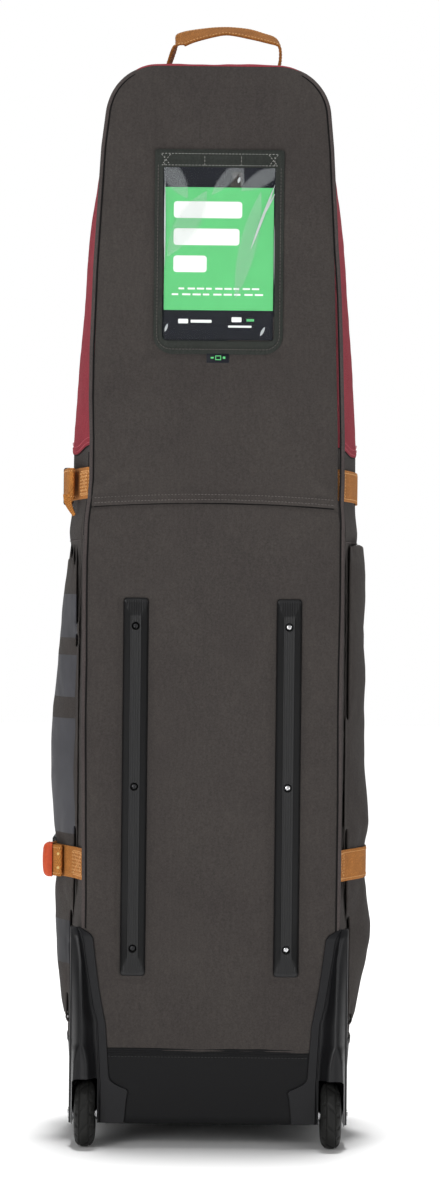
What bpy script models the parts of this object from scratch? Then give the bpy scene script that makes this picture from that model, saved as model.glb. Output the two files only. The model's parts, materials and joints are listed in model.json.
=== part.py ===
"""A wheeled golf travel case, standing on its wheels and front foot.

Metres, +Z up. -Y is the wheeled back, +Y the front that opens, +X the side of the lid's fabric hinge.
The origin is the middle of the footprint, on the floor.
"""

import math

import bmesh
import bpy
from mathutils import Matrix, Vector

# Heights of the soft body.
BOOT_BOTTOM_Z = 0.028
BOOT_TOP_Z = 0.119
SEAM_Z = 0.772
HOOD_Z = 0.842
CROWN_Z = 1.298
CROWN_R = 0.048

# Depths. The lid and the tub part at SPLIT_Y.
BACK_Y = -0.155
MID_Y = 0.010
SPLIT_Y = 0.040
FRONT_CORNER_R = 0.040
FRONT_CROWN_R = 0.045

WALL = 0.006
GAP = 0.0004
ZIP_GAP = 0.0025

# Half widths and the front's place, as (height, value), joined by straight runs.
BACK_HALF = ((0.0, 0.150), (0.60, 0.152), (0.75, 0.1515), (0.775, 0.1485), (0.85, 0.1480),
             (1.054, 0.1420), (1.298, 0.1290))
BODY_HALF = ((0.0, 0.167), (0.130, 0.176), (0.85, 0.1755), (0.96, 0.168), (1.054, 0.160),
             (1.145, 0.149), (1.298, 0.132))
FRONT_Y = ((0.0, 0.128), (0.130, 0.146), (0.50, 0.150), (0.775, 0.145), (0.96, 0.123),
           (1.145, 0.099), (1.298, 0.082))
BODY_LEVELS = (0.130, 0.50, 0.60, 0.75, 0.775, 0.85, 0.96, 1.054, 1.145)
FRONT_NARROWING = 0.010

# Wheels and their housings.
WHEEL_X = 0.1475
WHEEL_Y = -0.150
WHEEL_R = 0.040
WHEEL_WIDTH = 0.024
AXLE_R = 0.004
BEARING_BORE_R = 0.00408
WELL_HALF = 0.0150
WELL_R = 0.044
BOSS_R = 0.0075
BOSS_FACE = 0.0120
HOUSING_FLANGE = 0.004
HOUSING_OUTER_X = 0.1680
HOUSING_INNER_X = 0.1250
HOUSING_BOTTOM_Z = 0.030
BLOCK_TOP_Z = 0.092
BLOCK_FRONT_Y = -0.098
BLOCK_BACK_Y = -0.176

# Skid rails.
RAIL_X = 0.092
RAIL_LOW_Z, RAIL_HIGH_Z = 0.2055, 0.6595
RAIL_WIDTH = 0.031
RIDGE_WIDTH = 0.014
RAIL_HEIGHT = 0.0095
RAIL_SLOPE = 0.022
SCREW_Z = (0.239, 0.433, 0.6256)
SCREW_HEAD_R = 0.0036
SCREW_SHANK_R = 0.0020
COUNTERBORE_R = 0.0050
COUNTERBORE_DEPTH = 0.0035
CLEARANCE_R = 0.0024

# Straps.
STRAP_WIDTH = 0.038
STRAP_THICK = 0.0018
LOWER_STRAP_Z = 0.338
UPPER_STRAP_Z = 0.797
SOCKET_BACK_Y, SOCKET_MOUTH_Y = 0.006, 0.052
BUCKLE_HALF_Z = 0.0235
BUCKLE_THICK = 0.0105
PLUG_FRONT_Y = 0.078

# Side pockets.
POCKET_BACK_Y, POCKET_LOW_BACK_Y, POCKET_FRONT_Y = -0.128, -0.088, 0.022
POCKET_LOW_Z, POCKET_HIGH_Z = 0.140, 0.715
POCKET_RISE = 0.019
POCKET_RIM = 0.0025
PINCHED_RISE = 0.0125

# Front pocket, on the lid.
FRONT_POCKET_HALF = 0.118
FRONT_POCKET_LOW_Z, FRONT_POCKET_HIGH_Z = 0.400, 0.715
FRONT_POCKET_RISE = 0.028

PULL_PIVOT_UP = 0.0040

# The sleeve for an address card.
SLEEVE_HALF = 0.0782
SLEEVE_LOW_Z, SLEEVE_HIGH_Z = 0.955, 1.198
WINDOW_HALF = 0.0668
WINDOW_LOW_Z, WINDOW_HIGH_Z = 0.970, 1.178
SLEEVE_CORNER_R = 0.022
SLEEVE_THICK = 0.0035

# The top handle.
HANDLE_LEFT_X, HANDLE_RIGHT_X = -0.064, 0.070
HANDLE_Y = -0.070
HANDLE_AXIS_Z = CROWN_Z + 0.0045
HANDLE_WIDTH = 0.034
HANDLE_FOOT_WIDTH = 0.0064
HANDLE_THICK = 0.0032


# ---------------------------------------------------------------- helpers

def clear_scene():
    for obj in list(bpy.data.objects):
        bpy.data.objects.remove(obj)


def material(name, colour, roughness, metallic=0.0, alpha=1.0):
    mat = bpy.data.materials.new(name)
    mat.use_nodes = True
    shader = mat.node_tree.nodes["Principled BSDF"]
    shader.inputs["Base Color"].default_value = (*colour, 1.0)
    shader.inputs["Roughness"].default_value = roughness
    shader.inputs["Metallic"].default_value = metallic
    shader.inputs["Alpha"].default_value = alpha
    return mat


def add_mesh(name, bm, mat, smooth_angle=None):
    """Links the bmesh as an object, its faces pointing out."""
    bmesh.ops.recalc_face_normals(bm, faces=bm.faces)
    mesh = bpy.data.meshes.new(name)
    bm.to_mesh(mesh)
    bm.free()
    if smooth_angle is not None:
        mesh.shade_smooth()
        mesh.set_sharp_from_angle(angle=math.radians(smooth_angle))
    obj = bpy.data.objects.new(name, mesh)
    obj.data.materials.append(mat)
    bpy.context.scene.collection.objects.link(obj)
    return obj


def as_cutter(obj):
    obj.hide_render = True
    obj.display_type = "WIRE"
    return obj


def boolean(obj, other, operation):
    modifier = obj.modifiers.new(f"{operation}_{other.name}", "BOOLEAN")
    modifier.operation = operation
    modifier.object = other
    modifier.solver = "EXACT"
    return obj


def loft(name, rings, mat, smooth_angle=None):
    """A closed solid through rings of equally many points, with flat ends."""
    bm = bmesh.new()
    loops = [[bm.verts.new(point) for point in ring] for ring in rings]
    count = len(rings[0])
    for low, high in zip(loops, loops[1:]):
        for i in range(count):
            j = (i + 1) % count
            bm.faces.new((low[i], low[j], high[j], high[i]))
    bm.faces.new(loops[0])
    bm.faces.new(loops[-1])
    return add_mesh(name, bm, mat, smooth_angle)


def box(name, low, high, mat, bevel=0.0, segments=2):
    bm = bmesh.new()
    bmesh.ops.create_cube(bm, size=1.0)
    size = Vector(high) - Vector(low)
    middle = (Vector(high) + Vector(low)) / 2
    bmesh.ops.scale(bm, vec=size, verts=bm.verts)
    bmesh.ops.translate(bm, vec=middle, verts=bm.verts)
    if bevel:
        bmesh.ops.bevel(bm, geom=bm.edges[:], offset=bevel, segments=segments, affect="EDGES", profile=0.5)
    return add_mesh(name, bm, mat, 40 if bevel else None)


def prism(name, outline, axis, start, end, mat, bevel=0.0, segments=2):
    """An outline in the plane across axis (x, y or z), drawn out from start to end along it."""
    def place(u, v, w):
        return {"x": (w, u, v), "y": (u, w, v), "z": (u, v, w)}[axis]

    bm = bmesh.new()
    face = bm.faces.new([bm.verts.new(place(u, v, start)) for u, v in outline])
    drawn = bmesh.ops.extrude_face_region(bm, geom=[face])
    moved = [v for v in drawn["geom"] if isinstance(v, bmesh.types.BMVert)]
    bmesh.ops.translate(bm, vec=place(0, 0, end - start), verts=moved)
    if bevel:
        bmesh.ops.recalc_face_normals(bm, faces=bm.faces)
        bmesh.ops.bevel(bm, geom=bm.edges[:], offset=bevel, segments=segments, affect="EDGES", profile=0.5)
    return add_mesh(name, bm, mat, 40 if bevel else None)


def turned(name, profile, centre, mat, steps=32):
    """A closed profile of (radius, place along X) points, turned about the X axis through centre."""
    bm = bmesh.new()
    verts = [bm.verts.new((along, 0.0, radius)) for radius, along in profile]
    edges = [bm.edges.new((a, b)) for a, b in zip(verts, verts[1:] + verts[:1])]
    bmesh.ops.spin(bm, geom=verts + edges, cent=(0, 0, 0), axis=(1, 0, 0), angle=math.tau,
                   steps=steps, use_merge=True, use_duplicate=False)
    bmesh.ops.remove_doubles(bm, verts=bm.verts, dist=1e-7)
    bmesh.ops.translate(bm, vec=centre, verts=bm.verts)
    return add_mesh(name, bm, mat, 35)


def rod(name, axis, centre, radius, length, mat, sides=20):
    """A cylinder along x or y, centred on a point."""
    turn = {"x": Matrix.Rotation(math.pi / 2, 4, "Y"), "y": Matrix.Rotation(math.pi / 2, 4, "X")}[axis]
    bm = bmesh.new()
    bmesh.ops.create_cone(bm, cap_ends=True, segments=sides, radius1=radius, radius2=radius,
                          depth=length, matrix=Matrix.Translation(centre) @ turn)
    return add_mesh(name, bm, mat, 35)


def tube(name, points, radius, mat, resolution=1):
    """A round cord along a polyline, with filled ends."""
    curve = bpy.data.curves.new(name, "CURVE")
    curve.dimensions = "3D"
    curve.bevel_depth = radius
    curve.bevel_resolution = resolution
    curve.use_fill_caps = True
    spline = curve.splines.new("POLY")
    spline.points.add(len(points) - 1)
    for place, point in zip(spline.points, points):
        place.co = (*point, 1.0)
    obj = bpy.data.objects.new(name, curve)
    obj.data.materials.append(mat)
    bpy.context.scene.collection.objects.link(obj)
    return obj


def patch(name, outer, inner, mat, smooth_angle=None):
    """A closed solid between two grids of points of the same size."""
    bm = bmesh.new()
    rows, columns = len(outer), len(outer[0])
    front = [[bm.verts.new(point) for point in row] for row in outer]
    back = [[bm.verts.new(point) for point in row] for row in inner]
    for i in range(rows - 1):
        for j in range(columns - 1):
            bm.faces.new((front[i][j], front[i][j + 1], front[i + 1][j + 1], front[i + 1][j]))
            bm.faces.new((back[i][j], back[i + 1][j], back[i + 1][j + 1], back[i][j + 1]))
    rim = [(i, 0) for i in range(rows)] + [(rows - 1, j) for j in range(1, columns)]
    rim += [(i, columns - 1) for i in range(rows - 2, -1, -1)] + [(0, j) for j in range(columns - 2, 0, -1)]
    for (i, j), (k, m) in zip(rim, rim[1:] + rim[:1]):
        bm.faces.new((front[i][j], front[k][m], back[k][m], back[i][j]))
    return add_mesh(name, bm, mat, smooth_angle)


def along(table, z):
    """The value at height z on a table of (height, value)."""
    if z <= table[0][0]:
        return table[0][1]
    for (z0, v0), (z1, v1) in zip(table, table[1:]):
        if z <= z1:
            return v0 + (v1 - v0) * (z - z0) / (z1 - z0)
    return table[-1][1]


def arc(centre_u, centre_v, radius, start, end, steps):
    """Points on an arc, in degrees from the first axis."""
    angles = [math.radians(start + (end - start) * i / steps) for i in range(steps + 1)]
    return [(centre_u + radius * math.cos(a), centre_v + radius * math.sin(a)) for a in angles]


# ---------------------------------------------------------------- the body's shape

def rounded_in(z, radius, inset):
    """How far a rounded upper edge has come in at height z, on a surface that lies inset deep."""
    own = radius - inset
    up = z - (CROWN_Z - radius)
    return own - math.sqrt(max(own * own - up * up, 0.0)) if up > 0 else 0.0


def back_half(z):
    return along(BACK_HALF, z) - rounded_in(z, CROWN_R, 0.0)


def side_x(y, z, inset=0.0):
    """The side wall's distance from the middle plane, at a depth y and a height z."""
    narrowed = inset + rounded_in(z, CROWN_R, inset)
    back, body = along(BACK_HALF, z), along(BODY_HALF, z)
    if y <= MID_Y:
        share = math.sin(math.pi / 2 * max(0.0, (y - BACK_Y) / (MID_Y - BACK_Y)))
        return back + (body - back) * share - narrowed
    reach = (y - MID_Y) / (along(FRONT_Y, z) - MID_Y)
    return body - FRONT_NARROWING * reach * reach - narrowed


def front_y(z, inset=0.0):
    return along(FRONT_Y, z) - inset - rounded_in(z, FRONT_CROWN_R, inset)


def half_section(z, inset=0.0, back=BACK_Y):
    """The right half of a level section, from the back's middle round to the front's middle."""
    front = front_y(z, inset)
    radius = FRONT_CORNER_R - inset
    bend_y = front - radius
    points = [(0.0, back)]
    depths = [back, BACK_Y + 0.03, BACK_Y + 0.065, BACK_Y + 0.11, MID_Y, SPLIT_Y - 0.004]
    points += [(side_x(y, z, inset), y) for y in depths if y < bend_y - 0.004]
    while len(points) < len(depths) + 1:
        points.append((side_x(bend_y, z, inset), points[-1][1] + 0.002))
    bend_x = side_x(bend_y, z, inset) - radius
    points += arc(bend_x, bend_y, radius, 0, 90, 4)
    points.append((0.0, front + 0.003))
    return points


def section(z, inset=0.0, back=BACK_Y):
    """A whole level section, as points at height z."""
    half = half_section(z, inset, back)
    return [(x, y, z) for x, y in half] + [(-x, y, z) for x, y in half[-2:0:-1]]


def crown_levels(inset):
    """Heights up the rounded crown."""
    own = CROWN_R - inset
    return [CROWN_Z - CROWN_R + own * math.sin(math.radians(a)) for a in (0, 28, 52, 72, 90)]


def body_solid(name, mat, inset=0.0, low=BOOT_TOP_Z + GAP, back=BACK_Y):
    """The whole outer shape, or with an inset the room inside it."""
    levels = [low, *BODY_LEVELS, *crown_levels(inset)]
    return loft(name, [section(z, inset, back) for z in levels], mat)


def keep_between(obj, name, low, high):
    """Keeps what lies inside a box."""
    return boolean(obj, as_cutter(box(name + "_keep", low, high, obj.data.materials[0])), "INTERSECT")


def wall_part(name, mat, hollow, low, high):
    """A piece of the body's padded wall, between two corners."""
    return keep_between(boolean(body_solid(name, mat), hollow, "DIFFERENCE"), name, low, high)


def back_panels(mats):
    """The two flat panels of the back, sewn to each other at the waist seam."""
    far = 0.3
    inside = BACK_Y + WALL
    lower = keep_between(body_solid("lower_back_panel", mats["cloth"]), "lower_back_panel",
                         (-far, -far, 0.0), (far, inside, SEAM_Z - GAP / 2))
    upper = keep_between(body_solid("upper_back_panel", mats["cloth"]), "upper_back_panel",
                         (-far, -far, SEAM_Z + GAP / 2), (far, inside, 2.0))
    for side in (-1, 1):
        for z in SCREW_Z:
            centre = (side * RAIL_X, BACK_Y, z)
            hole = as_cutter(rod("panel_hole", "y", centre, CLEARANCE_R, 0.04, mats["cloth"], 12))
            boolean(lower, hole, "DIFFERENCE")
    return lower, upper


def walls(mats):
    """The gussets and the lid's two shells."""
    hollow = as_cutter(body_solid("hollow", mats["cloth"], inset=WALL, low=0.05, back=BACK_Y + WALL))
    far = 0.3
    rear, parting = BACK_Y + WALL + GAP, SPLIT_Y - ZIP_GAP
    foot = BOOT_TOP_Z + GAP
    wall_part("left_gusset", mats["cloth"], hollow, (-far, rear, foot), (-0.05, parting, HOOD_Z - GAP))
    wall_part("right_gusset", mats["cloth"], hollow, (0.05, rear, foot), (far, parting, HOOD_Z - GAP))
    wall_part("hood_gusset", mats["hood"], hollow, (-far, rear, HOOD_Z), (far, parting, 2.0))
    lid_low = BOOT_TOP_Z + 2 * ZIP_GAP + GAP
    wall_part("lid_panel", mats["cloth"], hollow, (-far, SPLIT_Y + ZIP_GAP, lid_low),
              (far, far, HOOD_Z - GAP))
    wall_part("lid_hood", mats["hood"], hollow, (-far, SPLIT_Y + ZIP_GAP, HOOD_Z), (far, far, 2.0))


def boot(mats):
    """The coated base: a tray with its two rear corners cut away for the wheel housings."""
    levels = (BOOT_BOTTOM_Z, BOOT_BOTTOM_Z + 0.012, BOOT_TOP_Z)
    tray = loft("boot", [section(z, 0.004 if z == levels[0] else 0.0) for z in levels], mats["boot"])
    room = [section(z, WALL, BACK_Y + WALL) for z in (BOOT_BOTTOM_Z + 0.005, 0.06, BOOT_TOP_Z + 0.01)]
    boolean(tray, as_cutter(loft("boot_room", room, mats["boot"])), "DIFFERENCE")
    board = loft("base_board", [section(z, WALL + GAP, BACK_Y + WALL + GAP) for z in
                 (BOOT_BOTTOM_Z + 0.005 + GAP, BOOT_BOTTOM_Z + 0.009)], mats["plastic"])
    for side in (-1, 1):
        corner = as_cutter(box(f"corner_cut_{side}", (side * (HOUSING_INNER_X - GAP), -0.3, 0.0),
                               (side * 0.3, BLOCK_FRONT_Y + GAP, BLOCK_TOP_Z + GAP), mats["boot"]))
        boolean(tray, corner, "DIFFERENCE")
        boolean(board, corner, "DIFFERENCE")


def back_outline(out, low):
    """The back panel's edge moved outwards, from the right side's foot over the top to the left's."""
    heights = [low, 0.60, 0.75, 0.775, 0.85, 1.054, 1.18]
    right = [(along(BACK_HALF, z) + out, z) for z in heights]
    bend_x, bend_z = along(BACK_HALF, CROWN_Z - CROWN_R) - CROWN_R, CROWN_Z - CROWN_R
    right += arc(bend_x, bend_z, CROWN_R + out, 0, 90, 6)
    return right + [(-x, z) for x, z in reversed(right)]


def piping(mats):
    radius = 0.003
    points = [(x, BACK_Y + radius - 0.0005, z) for x, z in back_outline(radius + 2 * GAP, 0.268)]
    tube("back_piping", points, radius, mats["piping"])


def zip_path():
    """The main zip's line: up the left side, over the top, and down the right side to the hinge's head."""
    heights = [0.135, 0.85, 0.96, 1.054, 1.145]
    left = [(-side_x(SPLIT_Y, z) + 0.002, SPLIT_Y, z) for z in heights]
    left += [(-side_x(SPLIT_Y, z) + 0.002, SPLIT_Y, z - 0.002) for z in crown_levels(0.0)[:-1]]
    right = [(-x, y, z) for x, y, z in reversed(left) if z > 0.84]
    return left + right


def foot_zip_path():
    """The zip's lower run, from the left side round the front to the hinge's foot."""
    z = BOOT_TOP_Z + ZIP_GAP + GAP / 2
    half = [(x, y, z) for x, y in half_section(z, 0.002) if y > SPLIT_Y - 0.01 and x > 0.001]
    half[0] = (side_x(SPLIT_Y, z) - 0.002, SPLIT_Y, z)
    return [(-x, y, z) for x, y, z in half] + list(reversed(half))


def zips(mats):
    tube("main_zip", zip_path(), 0.0020, mats["zip"])
    tube("foot_zip", foot_zip_path(), 0.0020, mats["zip"])
    outer = side_x(SPLIT_Y, 0.5)
    box("hinge_gusset", (outer - 0.0055, SPLIT_Y - 0.0018, 0.135), (outer - 0.0005, SPLIT_Y + 0.0018, 0.800),
        mats["cloth"])


# ---------------------------------------------------------------- inside

def insides(mats):
    sheet_back = BACK_Y + WALL + GAP
    sheet_front = sheet_back + 0.002
    sheet = box("frame_sheet", (-0.132, sheet_back, 0.135), (0.132, sheet_front, 0.760), mats["plastic"])
    for side in (-1, 1):
        for z in SCREW_Z:
            hole = as_cutter(rod("sheet_hole", "y", (side * RAIL_X, sheet_back, z), CLEARANCE_R, 0.02,
                                 mats["plastic"], 12))
            boolean(sheet, hole, "DIFFERENCE")
    box("tie_strap", (-0.070, sheet_front + GAP, 0.500), (0.070, sheet_front + GAP + STRAP_THICK, 0.538),
        mats["webbing"])
    inset = WALL + 4 * GAP
    levels = [1.20, *crown_levels(inset)]
    pad = loft("hood_foam", [section(z, inset, BACK_Y + inset) for z in levels], mats["foam"])
    keep_between(pad, "hood_foam", (-0.3, -0.3, 0.0), (0.3, SPLIT_Y - 0.012, 2.0))


# ---------------------------------------------------------------- rails

def skid_rail(side, mats):
    """A rail with sloping flanks and ends, and the strip of three screws that holds it."""
    name = "left" if side < 0 else "right"
    x, foot, top = side * RAIL_X, BACK_Y - GAP, BACK_Y - GAP - RAIL_HEIGHT

    def frame(half_width, y, end_gap):
        low, high = RAIL_LOW_Z + end_gap, RAIL_HIGH_Z - end_gap
        return [(x - half_width, y, low), (x + half_width, y, low), (x + half_width, y, high),
                (x - half_width, y, high)]

    rail = loft(f"{name}_skid_rail", [frame(RAIL_WIDTH / 2, foot, 0.0), frame(RAIL_WIDTH / 2, foot - 0.002, 0.0),
                frame(RIDGE_WIDTH / 2, top, RAIL_SLOPE)], mats["rail"])
    strip_back = BACK_Y + WALL + 3 * GAP + 0.002
    screws = box(f"{name}_rail_screws", (x - 0.008, strip_back, RAIL_LOW_Z + 0.01),
                 (x + 0.008, strip_back + 0.002, RAIL_HIGH_Z - 0.01), mats["steel"])
    for z in SCREW_Z:
        bore = as_cutter(rod("rail_bore", "y", (x, BACK_Y, z), CLEARANCE_R, 0.06, mats["rail"], 12))
        head_depth = COUNTERBORE_DEPTH + 0.01
        seat = as_cutter(rod("rail_seat", "y", (x, top + COUNTERBORE_DEPTH - head_depth / 2, z), COUNTERBORE_R,
                             head_depth, mats["rail"], 20))
        boolean(boolean(rail, bore, "DIFFERENCE"), seat, "DIFFERENCE")
        head_back = top + COUNTERBORE_DEPTH - GAP
        shank_length = strip_back + 0.001 - head_back
        shank = as_cutter(rod("shank", "y", (x, head_back + shank_length / 2, z), SCREW_SHANK_R, shank_length,
                              mats["steel"], 10))
        head = as_cutter(rod("head", "y", (x, head_back - 0.001, z), SCREW_HEAD_R, 0.0022, mats["steel"], 16))
        boolean(boolean(screws, shank, "UNION"), head, "UNION")


# ---------------------------------------------------------------- wheels

def housing_levels():
    """(height, the flange's inner edge, how far forward the wrap reaches, the fender's half width and height)."""
    return ((0.080, 0.119, -0.098, 0.0200, 0.0210), (0.130, 0.120, -0.098, 0.0180, 0.0180),
            (0.150, 0.122, -0.102, 0.0165, 0.0160), (0.195, 0.130, -0.108, 0.0130, 0.0115),
            (0.235, 0.137, -0.115, 0.0085, 0.0060), (0.254, 0.140, -0.122, 0.0050, 0.0020),
            (0.265, 0.150, -0.130, 0.0020, 0.0005))


def housing_section(side, z, inner_x, wrap_y, fender_half, fender_rise):
    clear, thick = 0.0006, HOUSING_FLANGE
    corner_x = along(BACK_HALF, z)
    depths = (-0.144, BACK_Y + 0.03, wrap_y)
    inner = [(inner_x, BACK_Y - clear), (corner_x + clear + 0.001, BACK_Y - clear)]
    inner += [(side_x(y, z) + clear, y) for y in depths]
    outer = [(side_x(y, z) + thick, y) for y in reversed(depths)]
    outer[-1] = (max(outer[-1][0], corner_x + 0.008), BACK_Y + 0.002)
    face = BACK_Y - thick
    centre = WHEEL_X - 0.001
    for share, rise in ((0.9, 0.25), (0.45, 0.85), (0.0, 1.0), (-0.45, 0.85), (-0.9, 0.25)):
        outer.append((centre + share * fender_half, face - rise * fender_rise))
    outer.append((inner_x, face))
    return [(side * x, y, z) for x, y in inner + outer]


def wheel_housing(side, mats):
    """A moulded corner: a flange on the back and the side, a fender, and a well for the wheel."""
    name = "left" if side < 0 else "right"
    housing = loft(f"{name}_wheel_housing", [housing_section(side, *level) for level in housing_levels()],
                   mats["housing"])
    corners = [(HOUSING_INNER_X, BLOCK_BACK_Y + 0.006), (HOUSING_INNER_X + 0.006, BLOCK_BACK_Y),
               (HOUSING_OUTER_X - 0.006, BLOCK_BACK_Y), (HOUSING_OUTER_X, BLOCK_BACK_Y + 0.006),
               (HOUSING_OUTER_X, BLOCK_FRONT_Y), (HOUSING_INNER_X, BLOCK_FRONT_Y)]
    block = as_cutter(prism("block", [(side * x, y) for x, y in corners], "z", HOUSING_BOTTOM_Z, BLOCK_TOP_Z,
                            mats["housing"]))
    toe = [(0.130, 0.088), (0.1192, 0.088), (0.117, 0.078), (0.094, 0.068), (0.098, 0.030), (0.130, 0.030)]
    flange = as_cutter(prism("toe", [(side * x, z) for x, z in toe], "y", BACK_Y - HOUSING_FLANGE,
                             BACK_Y - 0.0006, mats["housing"]))
    boolean(boolean(housing, block, "UNION"), flange, "UNION")
    well = [(-0.30, WHEEL_R + WELL_R)] + arc(WHEEL_Y, WHEEL_R, WELL_R, 90, 0, 8) + [(WHEEL_Y + WELL_R, 0), (-0.30, 0)]
    low, high = side * (WHEEL_X - WELL_HALF), side * (WHEEL_X + WELL_HALF)
    boolean(housing, as_cutter(prism("well", well, "x", low, high, mats["housing"])), "DIFFERENCE")
    for place in (-1, 1):
        reach = WELL_HALF + 0.001 - BOSS_FACE
        middle = WHEEL_X + place * (BOSS_FACE + reach / 2)
        boss = rod("boss", "x", (side * middle, WHEEL_Y, WHEEL_R), BOSS_R, reach, mats["housing"])
        boolean(housing, as_cutter(boss), "UNION")
    bore = rod("axle_bore", "x", (side * (WHEEL_X + 0.004), WHEEL_Y, WHEEL_R), AXLE_R + 0.0004, 0.048,
               mats["housing"])
    boolean(housing, as_cutter(bore), "DIFFERENCE")


def wheel(side, mats):
    """An in-line wheel: a urethane tyre on a hub, two bearings, and the axle bolt through them."""
    name = "left" if side < 0 else "right"
    centre = (side * WHEEL_X, WHEEL_Y, WHEEL_R)
    half = WHEEL_WIDTH / 2
    rim = 0.0205
    crown = [(rim + (WHEEL_R - rim) * math.sin(a), half * math.cos(a) ** 0.7)
             for a in [math.radians(d) for d in (0, 35, 60, 80)]]
    tyre = crown + [(WHEEL_R, 0.0)] + [(r, -w) for r, w in reversed(crown)]
    turned(f"{name}_tyre", tyre, centre, mats["tyre"], 32)
    hub = [(0.0113, -0.0118), (rim - GAP, -0.0108), (rim - GAP, 0.0108), (0.0113, 0.0118),
           (0.0113, 0.0040), (0.0060, 0.0040), (0.0060, -0.0040), (0.0113, -0.0040)]
    turned(f"{name}_hub", hub, centre, mats["hub"], 24)
    for place, low in (("inner", -0.0115), ("outer", 0.0045)):
        ring = [(BEARING_BORE_R, side * low), (0.0110, side * low), (0.0110, side * (low + 0.0070)),
                (BEARING_BORE_R, side * (low + 0.0070))]
        turned(f"{name}_{place}_bearing", ring, centre, mats["steel"], 20)
    axle = [(0.0, -0.0190), (AXLE_R, -0.0190), (AXLE_R, 0.0209), (0.0072, 0.0209), (0.0072, 0.0238),
            (0.0, 0.0238)]
    turned(f"{name}_axle", [(r, side * x) for r, x in axle], centre, mats["steel"], 20)


def front_foot(mats):
    outline = [(0.078, BOOT_BOTTOM_Z - GAP), (0.084, 0.003), (0.088, 0.0), (0.112, 0.0), (0.116, 0.003),
               (0.120, BOOT_BOTTOM_Z - GAP)]
    prism("front_foot", outline, "x", -0.115, 0.115, mats["housing"])


# ---------------------------------------------------------------- side pockets

def pinch(z):
    """1 away from the lower strap, 0 under it."""
    away = abs(z - LOWER_STRAP_Z) - (STRAP_WIDTH / 2 + 0.003)
    share = min(max(away / 0.045, 0.0), 1.0)
    return share * share * (3 - 2 * share)


def pocket_back(z):
    """The pocket's rear edge, which stays clear of the wheel housing."""
    share = min(max((z - 0.262) / 0.05, 0.0), 1.0)
    return POCKET_LOW_BACK_Y + (POCKET_BACK_Y - POCKET_LOW_BACK_Y) * share


def pocket_rise(y, z):
    """How far a side pocket stands out from the side wall."""
    back = pocket_back(z)
    u = (y - back) / (POCKET_FRONT_Y - back)
    v = (z - POCKET_LOW_Z) / (POCKET_HIGH_Z - POCKET_LOW_Z)
    if not (0 < u < 1 and 0 < v < 1):
        return POCKET_RIM
    across = math.sin(math.pi * u) ** 0.6
    up = min(1.0, math.sin(math.pi * v) * 2.6) ** 0.7
    full = PINCHED_RISE + (POCKET_RISE - PINCHED_RISE) * pinch(z)
    return POCKET_RIM + full * across * up


def side_pocket(side, mats):
    name = "left" if side < 0 else "right"
    heights = [POCKET_LOW_Z, 0.150, 0.170, 0.20, 0.262, 0.29, 0.314, 0.362, 0.38, 0.41, 0.64, 0.675, 0.70,
               POCKET_HIGH_Z]

    def grid(rise):
        rows = []
        for z in heights:
            back = pocket_back(z)
            depths = [back + (POCKET_FRONT_Y - back) * s for s in (0, 0.06, 0.2, 0.4, 0.65, 0.9, 1)]
            rows.append([(side * (side_x(y, z) + 2 * GAP + rise(y, z)), y, z) for y in depths])
        return rows

    patch(f"{name}_side_pocket", grid(pocket_rise), grid(lambda y, z: 0.0), mats["cloth"], 60)


def front_pocket_base(x, z):
    """The depth of the lid's front under the pocket."""
    share = abs(x) / (side_x(front_y(z) - FRONT_CORNER_R, z) - FRONT_CORNER_R)
    return front_y(z) + 0.003 * (1 - min(share, 1.0)) + 3 * GAP


def front_pocket_rise(x, z):
    """How far the front pocket stands out from the lid."""
    u = 1 - abs(x) / FRONT_POCKET_HALF
    v = (z - FRONT_POCKET_LOW_Z) / (FRONT_POCKET_HIGH_Z - FRONT_POCKET_LOW_Z)
    fullness = min(1.0, u * 7) ** 0.5 * min(1.0, v * 9, (1 - v) * 7) ** 0.5
    return POCKET_RIM + (FRONT_POCKET_RISE - 0.008 * v) * fullness


def front_pocket(mats):
    """A flat pouch on the lid, fuller at its foot."""
    heights = [FRONT_POCKET_LOW_Z + (FRONT_POCKET_HIGH_Z - FRONT_POCKET_LOW_Z) * s
               for s in (0, 0.04, 0.12, 0.3, 0.5, 0.7, 0.86, 0.95, 1)]
    places = [FRONT_POCKET_HALF * s for s in (-1, -0.93, -0.8, -0.5, 0, 0.5, 0.8, 0.93, 1)]
    inner = [[(x, front_pocket_base(x, z), z) for x in places] for z in heights]
    outer = [[(x, front_pocket_base(x, z) + front_pocket_rise(x, z), z) for x in places] for z in heights]
    patch("front_pocket", outer, inner, mats["cloth"], 60)


# ---------------------------------------------------------------- straps and buckles

def ribbon(name, path, z, mat, width=STRAP_WIDTH, thick=STRAP_THICK):
    """A webbing strap: a line in the level plane, thickened outwards, and as tall as the webbing is wide."""
    outer = []
    for i, (x, y) in enumerate(path):
        (ax, ay), (bx, by) = path[max(i - 1, 0)], path[min(i + 1, len(path) - 1)]
        normal = Vector((by - ay, -(bx - ax))).normalized()
        outer.append((x + normal.x * thick, y + normal.y * thick))
    prism(name, path + list(reversed(outer)), "z", z - width / 2, z + width / 2, mat)


def strap_lift(y, z):
    """How far a strap on the side lies off the side wall."""
    over_pocket = z < POCKET_HIGH_Z and POCKET_BACK_Y - 0.004 < y < POCKET_FRONT_Y + 0.004
    return (pocket_rise(y, z) if over_pocket else 0.0) + 3 * GAP


def side_line(side, z, depths):
    """Points along a side wall, or along the pocket on it, in the order that thickens outwards."""
    points = [(side * (side_x(y, z) + strap_lift(y, z)), y) for y in depths]
    return points if side > 0 else list(reversed(points))


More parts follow.
